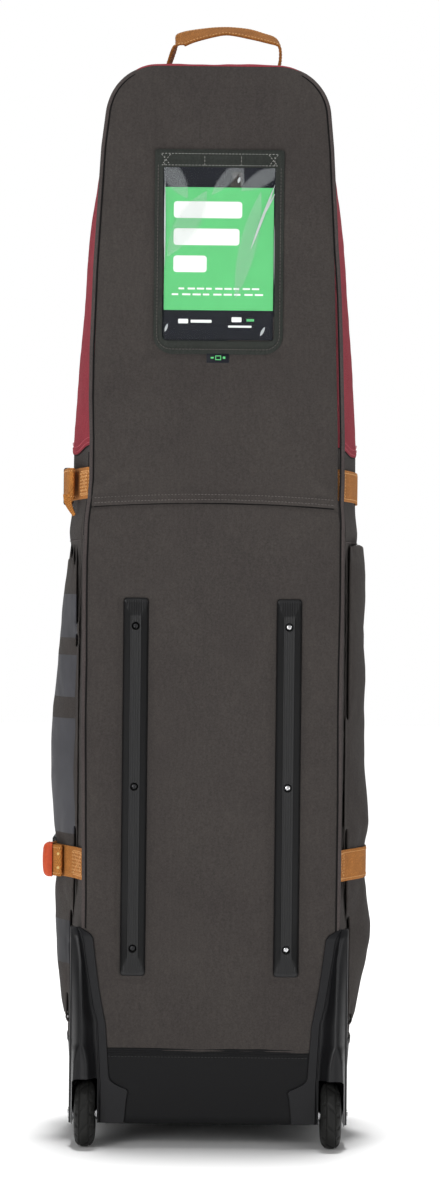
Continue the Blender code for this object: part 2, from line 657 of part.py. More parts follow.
def anchors(mats):
    """The strap ends that are sewn in at the back seams."""
    for z, place in ((LOWER_STRAP_Z, "lower"), (UPPER_STRAP_Z, "upper")):
        right = [-0.147, -0.136, -0.120, -0.098, -0.068, -0.030, 0.007, 0.024, 0.029, SPLIT_Y - 0.006]
        left = [y for y in right if y < SOCKET_BACK_Y - 0.004]
        ribbon(f"{place}_right_strap", side_line(1, z, right), z, mats["webbing"])
        ribbon(f"{place}_left_strap", side_line(-1, z, left + [SOCKET_BACK_Y - GAP]), z, mats["webbing"])


def buckle_x(z):
    """The buckle's inner face, as a distance from the middle plane."""
    return side_x(SOCKET_BACK_Y, z) + strap_lift(SOCKET_BACK_Y, z) + 2 * GAP


def buckles(mats):
    """Side-release buckles on the left: a socket on the case's strap, and a plug on the lid's."""
    for z, place in ((LOWER_STRAP_Z, "lower"), (UPPER_STRAP_Z, "upper")):
        near, far = buckle_x(z), buckle_x(z) + BUCKLE_THICK
        tall = BUCKLE_HALF_Z
        socket = box(f"{place}_buckle_socket", (-far, SOCKET_BACK_Y, z - tall), (-near, SOCKET_MOUTH_Y, z + tall),
                     mats["buckle"], 0.0022)
        mouth = box("mouth", (-far + 0.0014, 0.020, z - tall + 0.004), (-near - 0.0014, 0.09, z + tall - 0.004),
                    mats["buckle"])
        boolean(socket, as_cutter(mouth), "DIFFERENCE")
        for end in (-1, 1):
            low, high = sorted((z + end * (tall - 0.009), z + end * (tall + 0.01)))
            boolean(socket, as_cutter(box("window", (-far + 0.0022, 0.028, low), (-near - 0.0022, 0.040, high),
                                          mats["buckle"])), "DIFFERENCE")
        plug = box(f"{place}_buckle_plug", (-far, SOCKET_MOUTH_Y + GAP, z - tall), (-near, PLUG_FRONT_Y, z + tall),
                   mats["buckle"], 0.0022)
        middle = (near + far) / 2
        for shift, half in ((-0.0125, 0.0035), (0.0, 0.0045), (0.0125, 0.0035)):
            tongue = box("tongue", (-middle - 0.0022, 0.024, z + shift - half),
                         (-middle + 0.0022, SOCKET_MOUTH_Y + 0.006, z + shift + half), mats["buckle"])
            boolean(plug, as_cutter(tongue), "UNION")
        slot = box("slot", (-far - 0.01, PLUG_FRONT_Y - 0.013, z - 0.0195), (-near + 0.01, PLUG_FRONT_Y - 0.009,
                   z + 0.0195), mats["buckle"])
        boolean(plug, as_cutter(slot), "DIFFERENCE")
    far, z = buckle_x(LOWER_STRAP_Z) + BUCKLE_THICK, LOWER_STRAP_Z
    box("strap_pull_tab", (-far - 0.0060, -0.020, z - 0.015), (-far + 0.0050, SOCKET_BACK_Y - 0.002, z + 0.015),
        mats["orange"], 0.001, 1)


def lid_straps(mats):
    """The straps across the lid, from the buckle plugs round the front to the hinge side."""
    for z, place in ((LOWER_STRAP_Z, "lower"), (UPPER_STRAP_Z, "upper")):
        off = 3 * GAP + max(front_y(z - STRAP_WIDTH / 2), front_y(z + STRAP_WIDTH / 2)) - front_y(z)
        half = [(x + off, y) for x, y in half_section(z) if y > 0.10]
        bend = [(x, y + off * min(1.0, max(0.0, (y - 0.11) * 40))) for x, y in half]
        front = [(x, y) for x, y in bend if x > off + 0.001]
        crossing = front + [(0.0, front_y(z) + 0.003 + off)] + [(-x, y) for x, y in reversed(front)]
        right = [(side_x(y, z) + off, y) for y in (SPLIT_Y + 0.008, 0.07, 0.09)]
        middle = buckle_x(z) + BUCKLE_THICK / 2 - STRAP_THICK / 2
        left = [(-side_x(0.098, z) - off, 0.098), (-middle, PLUG_FRONT_Y + GAP)]
        ribbon(f"{place}_lid_strap", right + crossing + left, z, mats["webbing"])


# ---------------------------------------------------------------- handles

def top_handle(mats):
    """A webbing handle, narrow at its two sewn feet."""
    feet = [(HANDLE_LEFT_X, -0.0020), (HANDLE_LEFT_X + 0.007, 0.018), (HANDLE_LEFT_X + 0.015, 0.0380)]
    grip = [(-0.030, 0.0465), (0.0, 0.0515), (0.020, 0.0520), (0.045, 0.0475)]
    right = [(HANDLE_RIGHT_X + 0.003, 0.0370), (HANDLE_RIGHT_X + 0.002, 0.018), (HANDLE_RIGHT_X, -0.0020)]
    line = feet + grip + right
    widths = [HANDLE_FOOT_WIDTH, 0.022, HANDLE_WIDTH] + [HANDLE_WIDTH] * 4 + [HANDLE_WIDTH, 0.022, HANDLE_FOOT_WIDTH]
    rings = []
    for i, ((x, z), width) in enumerate(zip(line, widths)):
        (ax, az), (bx, bz) = line[max(i - 1, 0)], line[min(i + 1, len(line) - 1)]
        normal = Vector((-(bz - az), bx - ax)).normalized() * HANDLE_THICK / 2
        ring = [(x + s * normal.x, HANDLE_Y + t * width / 2, HANDLE_AXIS_Z + z + s * normal.y)
                for s, t in ((-1, -1), (1, -1), (1, 1), (-1, 1))]
        rings.append(ring)
    loft("top_handle", rings, mats["webbing"])


def carry_handle(mats):
    """A low handle on the lid's front, hanging from two sewn ends."""
    z = 0.252
    y = front_y(z) + 0.0075
    reach, drop, thick = 0.066, 0.036, 0.0030
    line = [(-reach, 0.0, 0.0), (-reach + 0.004, 0.003, -drop * 0.6), (-reach + 0.016, 0.006, -drop),
            (0.0, 0.009, -drop - 0.003), (reach - 0.016, 0.006, -drop), (reach - 0.004, 0.003, -drop * 0.6),
            (reach, 0.0, 0.0)]
    rings = []
    for i, (x, out, down) in enumerate(line):
        (ax, _, az), (bx, _, bz) = line[max(i - 1, 0)], line[min(i + 1, len(line) - 1)]
        across = Vector((-(bz - az), bx - ax)).normalized() * 0.0095
        rings.append([(x + s * across.x, y + out + t * thick / 2, z + down + s * across.y)
                      for s, t in ((-1, -1), (1, -1), (1, 1), (-1, 1))])
    loft("carry_handle", rings, mats["webbing"])


# ---------------------------------------------------------------- address sleeve

def address_sleeve(mats):
    """A framed clear window on the back, with a card that slides out at the top."""
    r = SLEEVE_CORNER_R
    lower = arc(-SLEEVE_HALF + r, SLEEVE_LOW_Z + r, r, 180, 270, 5)
    lower += arc(SLEEVE_HALF - r, SLEEVE_LOW_Z + r, r, 270, 360, 5)
    outline = lower + [(SLEEVE_HALF, SLEEVE_HIGH_Z), (-SLEEVE_HALF, SLEEVE_HIGH_Z)]
    face, back = BACK_Y - SLEEVE_THICK, BACK_Y - GAP
    frame = prism("sleeve_frame", outline, "y", face, back, mats["frame"])
    opening = box("opening", (-WINDOW_HALF, -0.3, WINDOW_LOW_Z), (WINDOW_HALF, 0.0, WINDOW_HIGH_Z), mats["frame"])
    boolean(frame, as_cutter(opening), "DIFFERENCE")
    slot = box("card_slot", (-WINDOW_HALF, BACK_Y - 0.0018, WINDOW_LOW_Z + 0.01), (WINDOW_HALF, 0.0, 1.5),
               mats["frame"])
    boolean(frame, as_cutter(slot), "DIFFERENCE")
    inside = WINDOW_HALF - GAP
    box("sleeve_window", (-inside, BACK_Y - 0.0027, WINDOW_LOW_Z + GAP),
        (inside, BACK_Y - 0.0019, WINDOW_HIGH_Z - GAP), mats["clear"])
    box("address_card", (-0.0655, BACK_Y - 0.0014, WINDOW_LOW_Z + 0.001), (0.0655, BACK_Y - 0.0005, 1.154),
        mats["card"])


# ---------------------------------------------------------------- zip sliders

def slider(name, low, high, mat):
    box(name, low, high, mat, 0.0012, 1)


def sliders(mats):
    """Zip sliders, each on a straight stretch of its zip, the main zip's two with hinged pulls."""
    face = side_x(SPLIT_Y, 0.5) + GAP
    for name, z in (("upper", 0.620), ("lower", 0.550)):
        slider(f"{name}_slider", (-face - 0.0065, SPLIT_Y - 0.0050, z - 0.0070), (-face, SPLIT_Y + 0.0050, z + 0.0070),
               mats["metal"])
        grip = box(f"{name}_pull", (-face - 0.0092, SPLIT_Y - 0.0045, z + PULL_PIVOT_UP - 0.0400),
                   (-face - 0.0070, SPLIT_Y + 0.0045, z + PULL_PIVOT_UP + 0.0008), mats["pull"], 0.0006, 1)
        hole = box("pull_hole", (-face - 0.02, SPLIT_Y - 0.0020, z - 0.030), (-face, SPLIT_Y + 0.0020, z - 0.020),
                   mats["pull"])
        boolean(grip, as_cutter(hole), "DIFFERENCE")
    rim_y = POCKET_FRONT_Y - 0.004
    for side, name in ((-1, "left"), (1, "right")):
        near = side * (side_x(rim_y, 0.5) + 2 * GAP + pocket_rise(rim_y, 0.54) + 2 * GAP)
        low, high = sorted((near, near + side * 0.0055))
        slider(f"{name}_pocket_slider", (low, rim_y - 0.0040, 0.575), (high, rim_y + 0.0040, 0.640), mats["metal"])
    low_z, high_z = 0.632, 0.668
    y = front_pocket_base(0.0, low_z) + front_pocket_rise(0.0, low_z) + GAP
    slider("front_pocket_slider", (0.060, y, low_z), (0.070, y + 0.0050, high_z), mats["metal"])


def main():
    clear_scene()
    mats = {
        "cloth": material("charcoal_cloth", (0.058, 0.052, 0.051), 0.85),
        "hood": material("burgundy_cloth", (0.26, 0.055, 0.068), 0.85),
        "boot": material("coated_cloth", (0.015, 0.015, 0.015), 0.55),
        "piping": material("piping", (0.060, 0.055, 0.054), 0.8),
        "webbing": material("tan_webbing", (0.36, 0.175, 0.065), 0.75),
        "frame": material("sleeve_binding", (0.040, 0.043, 0.040), 0.8),
        "rail": material("rail_plastic", (0.035, 0.035, 0.036), 0.45),
        "housing": material("housing_plastic", (0.018, 0.018, 0.019), 0.5),
        "plastic": material("sheet_plastic", (0.03, 0.03, 0.03), 0.5),
        "buckle": material("buckle_plastic", (0.012, 0.012, 0.013), 0.4),
        "tyre": material("tyre_urethane", (0.028, 0.028, 0.027), 0.6),
        "hub": material("hub_plastic", (0.02, 0.02, 0.02), 0.4),
        "steel": material("steel", (0.55, 0.55, 0.56), 0.3, 1.0),
        "metal": material("slider_metal", (0.10, 0.10, 0.10), 0.4, 1.0),
        "pull": material("pull_tab", (0.02, 0.02, 0.02), 0.5),
        "zip": material("zip_coil", (0.02, 0.02, 0.02), 0.6),
        "foam": material("padding", (0.10, 0.10, 0.10), 0.9),
        "clear": material("clear_film", (0.9, 0.92, 0.92), 0.08, 0.0, 0.25),
        "card": material("green_card", (0.20, 0.62, 0.29), 0.5),
        "orange": material("orange_tab", (0.70, 0.10, 0.04), 0.6),
    }
    back_panels(mats)
    walls(mats)
    boot(mats)
    piping(mats)
    zips(mats)
    insides(mats)
    for side in (-1, 1):
        skid_rail(side, mats)
        wheel_housing(side, mats)
        wheel(side, mats)
        side_pocket(side, mats)
    front_foot(mats)
    front_pocket(mats)
    anchors(mats)
    buckles(mats)
    lid_straps(mats)
    top_handle(mats)
    carry_handle(mats)
    address_sleeve(mats)
    sliders(mats)


main()
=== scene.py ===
"""The finished look of the golf travel case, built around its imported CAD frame."""

import json
import math

import bmesh
import bpy
import numpy as np
from mathutils import Matrix, Vector, noise

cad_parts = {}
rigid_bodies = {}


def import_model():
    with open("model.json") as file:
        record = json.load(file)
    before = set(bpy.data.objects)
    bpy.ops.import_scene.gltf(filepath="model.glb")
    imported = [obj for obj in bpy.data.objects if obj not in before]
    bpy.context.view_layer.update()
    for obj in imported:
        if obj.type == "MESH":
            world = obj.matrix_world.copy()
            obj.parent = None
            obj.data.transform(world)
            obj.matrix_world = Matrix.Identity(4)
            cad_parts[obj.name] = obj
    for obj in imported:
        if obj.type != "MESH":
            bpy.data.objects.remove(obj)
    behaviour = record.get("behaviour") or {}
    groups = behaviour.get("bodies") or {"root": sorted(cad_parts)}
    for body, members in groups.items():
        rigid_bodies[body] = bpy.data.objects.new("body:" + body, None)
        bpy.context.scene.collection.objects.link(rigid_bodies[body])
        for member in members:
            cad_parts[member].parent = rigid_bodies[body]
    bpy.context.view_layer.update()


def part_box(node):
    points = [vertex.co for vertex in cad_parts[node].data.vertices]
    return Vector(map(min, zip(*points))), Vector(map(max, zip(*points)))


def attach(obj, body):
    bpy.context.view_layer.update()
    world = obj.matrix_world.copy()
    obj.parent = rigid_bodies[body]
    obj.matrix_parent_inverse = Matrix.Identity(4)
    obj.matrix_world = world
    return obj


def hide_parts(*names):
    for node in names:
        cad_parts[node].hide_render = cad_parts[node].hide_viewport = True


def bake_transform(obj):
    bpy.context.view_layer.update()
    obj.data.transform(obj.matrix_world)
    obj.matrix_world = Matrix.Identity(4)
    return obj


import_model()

# ---------------------------------------------------------------- the case's own dimensions, as in the CAD

CROWN_Z, CROWN_R, CROWN_SWELL = 1.298, 0.056, 0.0062
BOOT_LOW_Z, BOOT_TOP_Z, HOOD_Z = 0.028, 0.119, 0.842
HEM_ROWS = (0.0035, 0.0095)  # the two rows of stitches over the hood's lower hem
SEAM_ROWS = (0.0042, 0.0104)  # the two rows over the waist seam
PIPING_LOW_Z, SEAM_Z = 0.262, 0.772
BACK_Y, MID_Y, SPLIT_Y = -0.155, 0.010, 0.040
ZIP_GAP = 0.0025
CLOTH = 0.004
FRONT_CORNER_R, FRONT_CROWN_R = 0.040, 0.045
WHEEL_X, WHEEL_Y, WHEEL_R, FOOT_Y = 0.1475, -0.150, 0.040, 0.099
LOWER_STRAP_Z, UPPER_STRAP_Z, STRAP_WIDTH, STRAP_THICK = 0.338, 0.797, 0.038, 0.0020
# a stitch's length, the gap after it, and the thread's radius
STRAP_STITCH, HANDLE_STITCH = (0.0026, 0.0016, 0.00038), (0.0026, 0.0016, 0.00034)
RAIL_X, RAIL_LOW_Z, RAIL_HIGH_Z = 0.092, 0.2055, 0.6595
SCREW_Z = (0.239, 0.433, 0.6256)
POCKET_BACK_Y, POCKET_LOW_BACK_Y, POCKET_FRONT_Y = -0.128, -0.088, 0.022
POCKET_LOW_Z, POCKET_HIGH_Z, POCKET_RIM = 0.140, 0.715, 0.0025
FRONT_POCKET_HALF, FRONT_POCKET_LOW_Z, FRONT_POCKET_HIGH_Z, FRONT_POCKET_RISE = 0.118, 0.400, 0.715, 0.028
FRONT_ZIP_Z, FRONT_STITCH_Z, FRONT_SLIDER_X = 0.650, (0.6585, 0.6415), 0.065
SLEEVE_HALF, SLEEVE_LOW_Z, SLEEVE_MIDDLE_Z, SLEEVE_HIGH_Z, SLEEVE_R = 0.0764, 0.955, 1.08, 1.198, 0.022
SLEEVE_SHIFT_X, SLEEVE_SHIFT_Z = 0.0028, -0.0015  # sewn on a little off the middle
WINDOW_HALF, WINDOW_LOW_Z, WINDOW_HIGH_Z = 0.0672, 0.970, 1.178
HANDLE_Y, HANDLE_AXIS_Z, HANDLE_FEET_X = -0.070, 1.3025, (-0.0645, 0.0712)

HEIGHTS = np.linspace(-0.10, 1.45, 1551)


def height_curve(points, spread):
    """A smooth function of height near (height, value) points."""
    raw = np.interp(HEIGHTS, *zip(*points))
    reach = int(spread * 1000)
    kernel = np.hanning(2 * reach + 3)
    padded = np.pad(raw, reach + 1, mode="edge")
    smooth = np.convolve(padded, kernel / kernel.sum(), mode="valid")
    return lambda z: np.interp(z, HEIGHTS, smooth)


back_half = height_curve(((0.0, 0.150), (0.60, 0.152), (0.75, 0.1515), (0.775, 0.1485), (0.85, 0.1480),
                          (1.054, 0.1420), (1.298, 0.1290)), 0.012)
body_half = height_curve(((0.0, 0.167), (0.130, 0.176), (0.85, 0.1755), (0.96, 0.168), (1.054, 0.160),
                          (1.145, 0.149), (1.298, 0.132)), 0.03)
front_line = height_curve(((0.0, 0.128), (0.130, 0.146), (0.50, 0.150), (0.775, 0.145), (0.96, 0.123),
                           (1.145, 0.099), (1.298, 0.082)), 0.03)


def side_half(y, z):
    """The side wall's distance from the middle plane, without the crown's rounding."""
    fullness = 0.0038 * np.exp(-((z - 1.115) / 0.065) ** 2) + 0.0032 * np.exp(-((z - 0.740) / 0.020) ** 2)
    back, body = back_half(z), body_half(z) + fullness
    reach = np.clip((y - BACK_Y) / (MID_Y - BACK_Y), 0, 1)
    front = np.clip((y - MID_Y) / (front_line(z) - MID_Y), 0, 1)
    return back + (body - back) * np.sin(math.pi / 2 * reach) - 0.010 * front ** 2


def smoothstep(low, high, x):
    t = np.clip((x - low) / (high - low), 0, 1)
    return t * t * (3 - 2 * t)


def noise_at(points, scale, seed=0.0, stretch=(1, 1, 1)):
    """Smooth noise between -1 and 1 at each of an array's points."""
    flat = np.asarray(points, float).reshape(-1, 3) * (np.array(stretch) * scale) + seed
    values = [noise.noise(Vector(p)) for p in flat]
    return np.array(values).reshape(np.asarray(points).shape[:-1])


# ---------------------------------------------------------------- materials

class Shader:
    """A material and short ways to add and join its nodes."""

    def __init__(self, name):
        self.material = bpy.data.materials.new(name)
        self.material.use_nodes = True
        self.tree = self.material.node_tree
        self.principled = self.tree.nodes["Principled BSDF"]

    def node(self, kind, settings=None, **inputs):
        made = self.tree.nodes.new("ShaderNode" + kind)
        for key, value in (settings or {}).items():
            setattr(made, key, value)
        for key, value in inputs.items():
            self.plug(made, key, value)
        return made

    def plug(self, node, key, value):
        """Sets or joins an input, given by name or, as i0, i1 and so on, by number."""
        numbered = key[0] == "i" and key[1:].isdigit()
        socket = node.inputs[int(key[1:])] if numbered else node.inputs[key.replace("_", " ")]
        if isinstance(value, bpy.types.NodeSocket):
            self.tree.links.new(value, socket)
        else:
            socket.default_value = value

    def set(self, **inputs):
        for key, value in inputs.items():
            self.plug(self.principled, key, value)
        return self

    def math(self, operation, a, b=0.0, c=0.0):
        return self.node("Math", {"operation": operation}, i0=a, i1=b, i2=c).outputs[0]

    def noise(self, vector, scale, detail=2.0, roughness=0.5):
        made = self.node("TexNoise", None, Vector=vector, Scale=scale, Detail=detail, Roughness=roughness)
        return made.outputs["Fac"]

    def ramp(self, value, *stops):
        made = self.node("ValToRGB", None, Fac=value)
        elements = made.color_ramp.elements
        while len(elements) < len(stops):
            elements.new(0.5)
        for element, (place, colour) in zip(elements, stops):
            element.position = place
            element.color = (*colour, 1.0)
        return made.outputs["Color"]

    def mix(self, factor, a, b, blend="MIX"):
        made = self.node("Mix", {"data_type": "RGBA", "blend_type": blend})
        for socket, value in ((made.inputs[0], factor), (made.inputs[6], a), (made.inputs[7], b)):
            if isinstance(value, bpy.types.NodeSocket):
                self.tree.links.new(value, socket)
            else:
                socket.default_value = value
        return made.outputs[2]

    def bump(self, height, strength, distance, normal=None):
        made = self.node("Bump", None, Height=height, Strength=strength, Distance=distance)
        if normal is not None:
            self.plug(made, "Normal", normal)
        return made.outputs["Normal"]

    def scaled(self, vector, scale):
        return self.node("Mapping", None, Vector=vector, Scale=scale).outputs["Vector"]

    def place(self):
        return self.node("TexCoord").outputs["Object"]

    def uv(self):
        return self.node("TexCoord").outputs["UV"]


def linear(r, g, b):
    """An 8-bit screen colour as linear light."""
    return tuple(c / 12.92 if c <= 0.04045 else ((c + 0.055) / 1.055) ** 2.4
                 for c in (r / 255, g / 255, b / 255))


def shade(colour, factor):
    return tuple(min(c * factor, 1.0) for c in colour)


def thread_coordinates(shader):
    """Two coordinates along a surface, chosen by the way it faces."""
    coordinates = shader.node("TexCoord")
    place = shader.node("SeparateXYZ", None, Vector=coordinates.outputs["Object"])
    facing = shader.node("SeparateXYZ", None, Vector=coordinates.outputs["Normal"])
    across_x = shader.math("ABSOLUTE", facing.outputs["X"])
    across_y = shader.math("ABSOLUTE", facing.outputs["Y"])
    across_z = shader.math("ABSOLUTE", facing.outputs["Z"])
    sideways = shader.math("GREATER_THAN", across_x, across_y)
    level = shader.math("GREATER_THAN", across_z, 0.75)
    u = shader.node("Mix", None, i0=sideways, i2=place.outputs["X"], i3=place.outputs["Y"]).outputs[0]
    v = shader.node("Mix", None, i0=level, i2=place.outputs["Z"], i3=place.outputs["Y"]).outputs[0]
    return coordinates.outputs["Object"], u, v


def woven(name, colour, pitch=0.0009, depth=0.00022, heather=0.16, rough=0.90, sheen=0.03, shine=0.10):
    """Plain-woven cloth with mixed yarns."""
    s = Shader(name)
    place, u, v = thread_coordinates(s)
    turns = 2 * math.pi / pitch
    warp = s.math("SINE", s.math("MULTIPLY", u, turns))
    weft = s.math("SINE", s.math("MULTIPLY", v, turns))
    weave = s.math("MULTIPLY", warp, weft)
    yarn = s.noise(place, 900.0, 3.0, 0.7)
    mottle = s.ramp(s.noise(place, 430.0, 2.0, 0.6), (0.34, shade((1, 1, 1), 0.80)),
                    (0.66, shade((1.1, 1.1, 1.1), 1.1)))
    broad = s.noise(place, 9.0, 3.0, 0.6)
    slub = s.noise(s.scaled(place, (260.0, 260.0, 60.0)), 1.0, 2.0)
    dark, light = shade(colour, 1 - heather), shade(colour, 1 + heather)
    base = s.ramp(yarn, (0.30, dark), (0.70, light))
    tint = s.ramp(broad, (0.35, (0.90, 0.89, 0.90)), (0.65, (1.06, 1.06, 1.05)))
    toned = s.mix(1.0, s.mix(0.8, base, tint, "MULTIPLY"), mottle, "MULTIPLY")
    streak = s.ramp(slub, (0.40, (0.93, 0.93, 0.93)), (0.62, (1.05, 1.04, 1.03)))
    s.set(Base_Color=s.mix(0.7, toned, streak, "MULTIPLY"))
    height = s.math("ADD", s.math("MULTIPLY", weave, 0.5), s.math("MULTIPLY", yarn, 0.8))
    normal = s.bump(height, 0.55, depth)
    s.set(Roughness=s.math("MULTIPLY_ADD", yarn, 0.10, rough - 0.05), Normal=normal)
    s.set(Specular_IOR_Level=shine, Sheen_Weight=sheen, Sheen_Roughness=0.5)
    return s.material


def webbing_cloth(name, colour):
    """Flat woven strap: fine ribs across, a zigzag along, and worn lighter crowns."""
    s = Shader(name)
    uv = s.node("SeparateXYZ", None, Vector=s.uv())
    u, v = uv.outputs["X"], uv.outputs["Y"]
    zigzag = s.math("PINGPONG", v, 0.0048)
    slant = s.math("ADD", s.math("MULTIPLY", u, 2 * math.pi / 0.0026),
                   s.math("MULTIPLY", zigzag, 2 * math.pi / 0.0048))
    rib = s.math("SINE", slant)
    speck = s.math("GREATER_THAN", s.noise(s.place(), 620.0, 1.0), 0.585)
    lane = s.math("SINE", s.math("MULTIPLY", v, 2 * math.pi / 0.0048))
    place = s.place()
    yarn = s.noise(place, 1400.0, 2.0)
    wear = s.noise(place, 45.0, 4.0, 0.65)
    base = s.ramp(s.math("MULTIPLY_ADD", rib, 0.22, s.math("MULTIPLY", yarn, 0.9)),
                  (0.20, shade(colour, 0.58)), (0.62, shade(colour, 1.10)))
    base = s.mix(s.math("MULTIPLY", speck, 0.42), base, (*shade(colour, 1.75), 1.0))
    worn = s.ramp(wear, (0.35, (0.84, 0.82, 0.80)), (0.66, (1.10, 1.10, 1.12)))
    s.set(Base_Color=s.mix(0.85, base, worn, "MULTIPLY"))
    height = s.math("ADD", s.math("MULTIPLY", rib, 0.6), s.math("MULTIPLY", lane, 0.25))
    s.set(Normal=s.bump(s.math("ADD", height, s.math("MULTIPLY", yarn, 0.4)), 0.6, 0.00035))
    s.set(Roughness=0.78, Specular_IOR_Level=0.12, Sheen_Weight=0.02, Sheen_Roughness=0.4)
    return s.material


def moulded(name, colour, grain=1600.0, depth=0.00012, rough=0.45, variation=0.12, shine=0.22, painted_slope_shade=0.0):
    """Moulded plastic with a fine grain and a little scuffing, and painted shade on faces that turn sideways
    when asked for.
    """
    s = Shader(name)
    place = s.place()
    fine = s.noise(place, grain, 3.0, 0.6)
    scuff = s.noise(place, 38.0, 5.0, 0.7)
    tone = s.ramp(scuff, (0.30, shade(colour, 1 - variation)), (0.72, shade(colour, 1 + variation)))
    if painted_slope_shade:
        # painted shade: the colour darkens where the surface faces sideways
        facing = s.node("SeparateXYZ", None,
                        Vector=s.tree.nodes.new("ShaderNodeNewGeometry").outputs["Normal"])
        aside = s.math("MINIMUM", s.math("MULTIPLY", s.math("ABSOLUTE", facing.outputs["X"]), 2.2), 1.0)
        tone = s.mix(s.math("MULTIPLY", aside, painted_slope_shade), tone, (*shade(colour, 0.25), 1.0))
    dust = s.noise(place, 260.0, 4.0, 0.8)
    s.set(Base_Color=s.mix(s.math("MULTIPLY", s.math("GREATER_THAN", dust, 0.69), 0.10), tone,
                           (*shade(colour, 2.5), 1.0)))
    s.set(Roughness=s.math("MULTIPLY_ADD", scuff, 0.22, rough - 0.11), Normal=s.bump(fine, 0.5, depth))
    s.set(Specular_IOR_Level=shine)
    return s.material


def metal(name, colour, rough, scratch=0.3):
    s = Shader(name)
    place = s.place()
    lines = s.noise(s.scaled(place, (300.0, 2500.0, 2500.0)), 1.0, 3.0)
    dull = s.noise(place, 120.0, 3.0)
    s.set(Base_Color=s.ramp(dull, (0.3, shade(colour, 0.85)), (0.7, shade(colour, 1.08))), Metallic=1.0)
    s.set(Roughness=s.math("MULTIPLY_ADD", lines, scratch, rough - scratch / 2),
          Normal=s.bump(lines, 0.2, 0.00005))
    return s.material


def plain(name, colour, rough=0.5, noise_scale=400.0, variation=0.1, depth=0.00006, **extra):
    s = Shader(name)
    grain = s.noise(s.place(), noise_scale, 3.0)
    s.set(Base_Color=s.ramp(grain, (0.3, shade(colour, 1 - variation)), (0.7, shade(colour, 1 + variation))))
    s.set(Roughness=rough, Specular_IOR_Level=0.15, Normal=s.bump(grain, 0.4, depth))
    s.set(**extra)
    return s.material


LOWEST_BAND_Z = 0.30  # the band below this height is darker than the others


def banded(name, colour, band_colour, bands, behind_y):
    """Cloth with smooth rubberised bands between pairs of heights, in front of a depth."""
    material = woven(name, colour)
    s = Shader.__new__(Shader)
    s.material, s.tree = material, material.node_tree
    s.principled = s.tree.nodes["Principled BSDF"]
    place = s.node("SeparateXYZ", None, Vector=s.place())
    ragged = s.math("MULTIPLY", s.math("SUBTRACT", s.noise(s.place(), 60.0), 0.5), 0.0008)
    z = s.math("ADD", place.outputs["Z"], ragged)
    mask = None
    for low, high in bands:
        inside = s.math("MULTIPLY", s.math("GREATER_THAN", z, low), s.math("LESS_THAN", z, high))
        mask = inside if mask is None else s.math("MAXIMUM", mask, inside)
    mask = s.math("MULTIPLY", mask, s.math("GREATER_THAN", place.outputs["Y"], behind_y))
    old = {key: s.principled.inputs[key].links[0].from_socket
           for key in ("Base Color", "Roughness", "Normal")}
    film = s.noise(s.place(), 30.0, 4.0)
    film_colour = s.ramp(film, (0.3, shade(band_colour, 0.9)), (0.7, shade(band_colour, 1.12)))
    film_colour = s.mix(s.math("LESS_THAN", z, LOWEST_BAND_Z), film_colour, (*shade(band_colour, 0.5), 1.0))
    s.set(Base_Color=s.mix(mask, old["Base Color"], film_colour))
    smooth = s.math("SUBTRACT", 1.0, s.math("MULTIPLY", mask, 0.42))
    s.set(Roughness=s.math("MULTIPLY", old["Roughness"], smooth))
    weave = old["Normal"].node
    s.plug(weave, "Strength", s.math("MULTIPLY_ADD", mask, -0.47, 0.55))
    s.set(Normal=s.bump(mask, 0.6, 0.0003, weave.outputs["Normal"]))
    return material


def streaks(s, x, z, lines, crisp):
    """A mask of tapering streaks (x, z, x, z, half the width); crisp sets how hard their edges are."""
    mask = None
    for x0, z0, x1, z1, width in lines:
        length = math.hypot(x1 - x0, z1 - z0)
        ux, uz = (x1 - x0) / length, (z1 - z0) / length
        along = s.math("ADD", s.math("MULTIPLY_ADD", x, ux, -x0 * ux),
                       s.math("MULTIPLY_ADD", z, uz, -z0 * uz))
        aside = s.math("ADD", s.math("MULTIPLY_ADD", x, uz, -x0 * uz),
                       s.math("MULTIPLY_ADD", z, -ux, z0 * ux))
        far = s.math("ABSOLUTE", s.math("MULTIPLY_ADD", along, 2 / length, -1.0))
        taper = s.math("MAXIMUM", s.math("SUBTRACT", 1.0, s.math("MULTIPLY", far, far)), 0.0)
        reach = s.math("MULTIPLY_ADD", taper, width, 0.000001)
        share = s.math("DIVIDE", s.math("ABSOLUTE", aside), reach)
        edge = s.math("MULTIPLY_ADD", share, -crisp, crisp)
        inside = s.math("MINIMUM", s.math("MAXIMUM", edge, 0.0), 1.0)
        mask = inside if mask is None else s.math("MAXIMUM", mask, inside)
    return mask


def film(name):
    """Clear flexible film with grey patches of painted reflection and white streaks of painted highlight
    along its creases.
    """
    s = Shader(name)
    place = s.node("SeparateXYZ", None, Vector=s.place())
    x = s.math("SUBTRACT", place.outputs["X"], SLEEVE_SHIFT_X)
    z = s.math("SUBTRACT", place.outputs["Z"], SLEEVE_SHIFT_Z)
    # grey patches of painted reflection, then white streaks of painted highlight
    alpha = s.math("MULTIPLY_ADD", streaks(s, x, z, FILM_PAINTED_REFLECTIONS, 3.0), 0.10, 0.006)
    alpha = s.math("MULTIPLY_ADD", streaks(s, x, z, FILM_PAINTED_HIGHLIGHTS, 6.0), 0.62, alpha)
    ripple = s.noise(s.place(), 26.0, 4.0, 0.6)
    s.set(Base_Color=(0.62, 0.66, 0.67, 1.0), Alpha=s.math("MINIMUM", alpha, 0.9), Roughness=0.10)
    s.set(Specular_IOR_Level=0.18, Normal=s.bump(ripple, 0.35, 0.003))
    return s.material
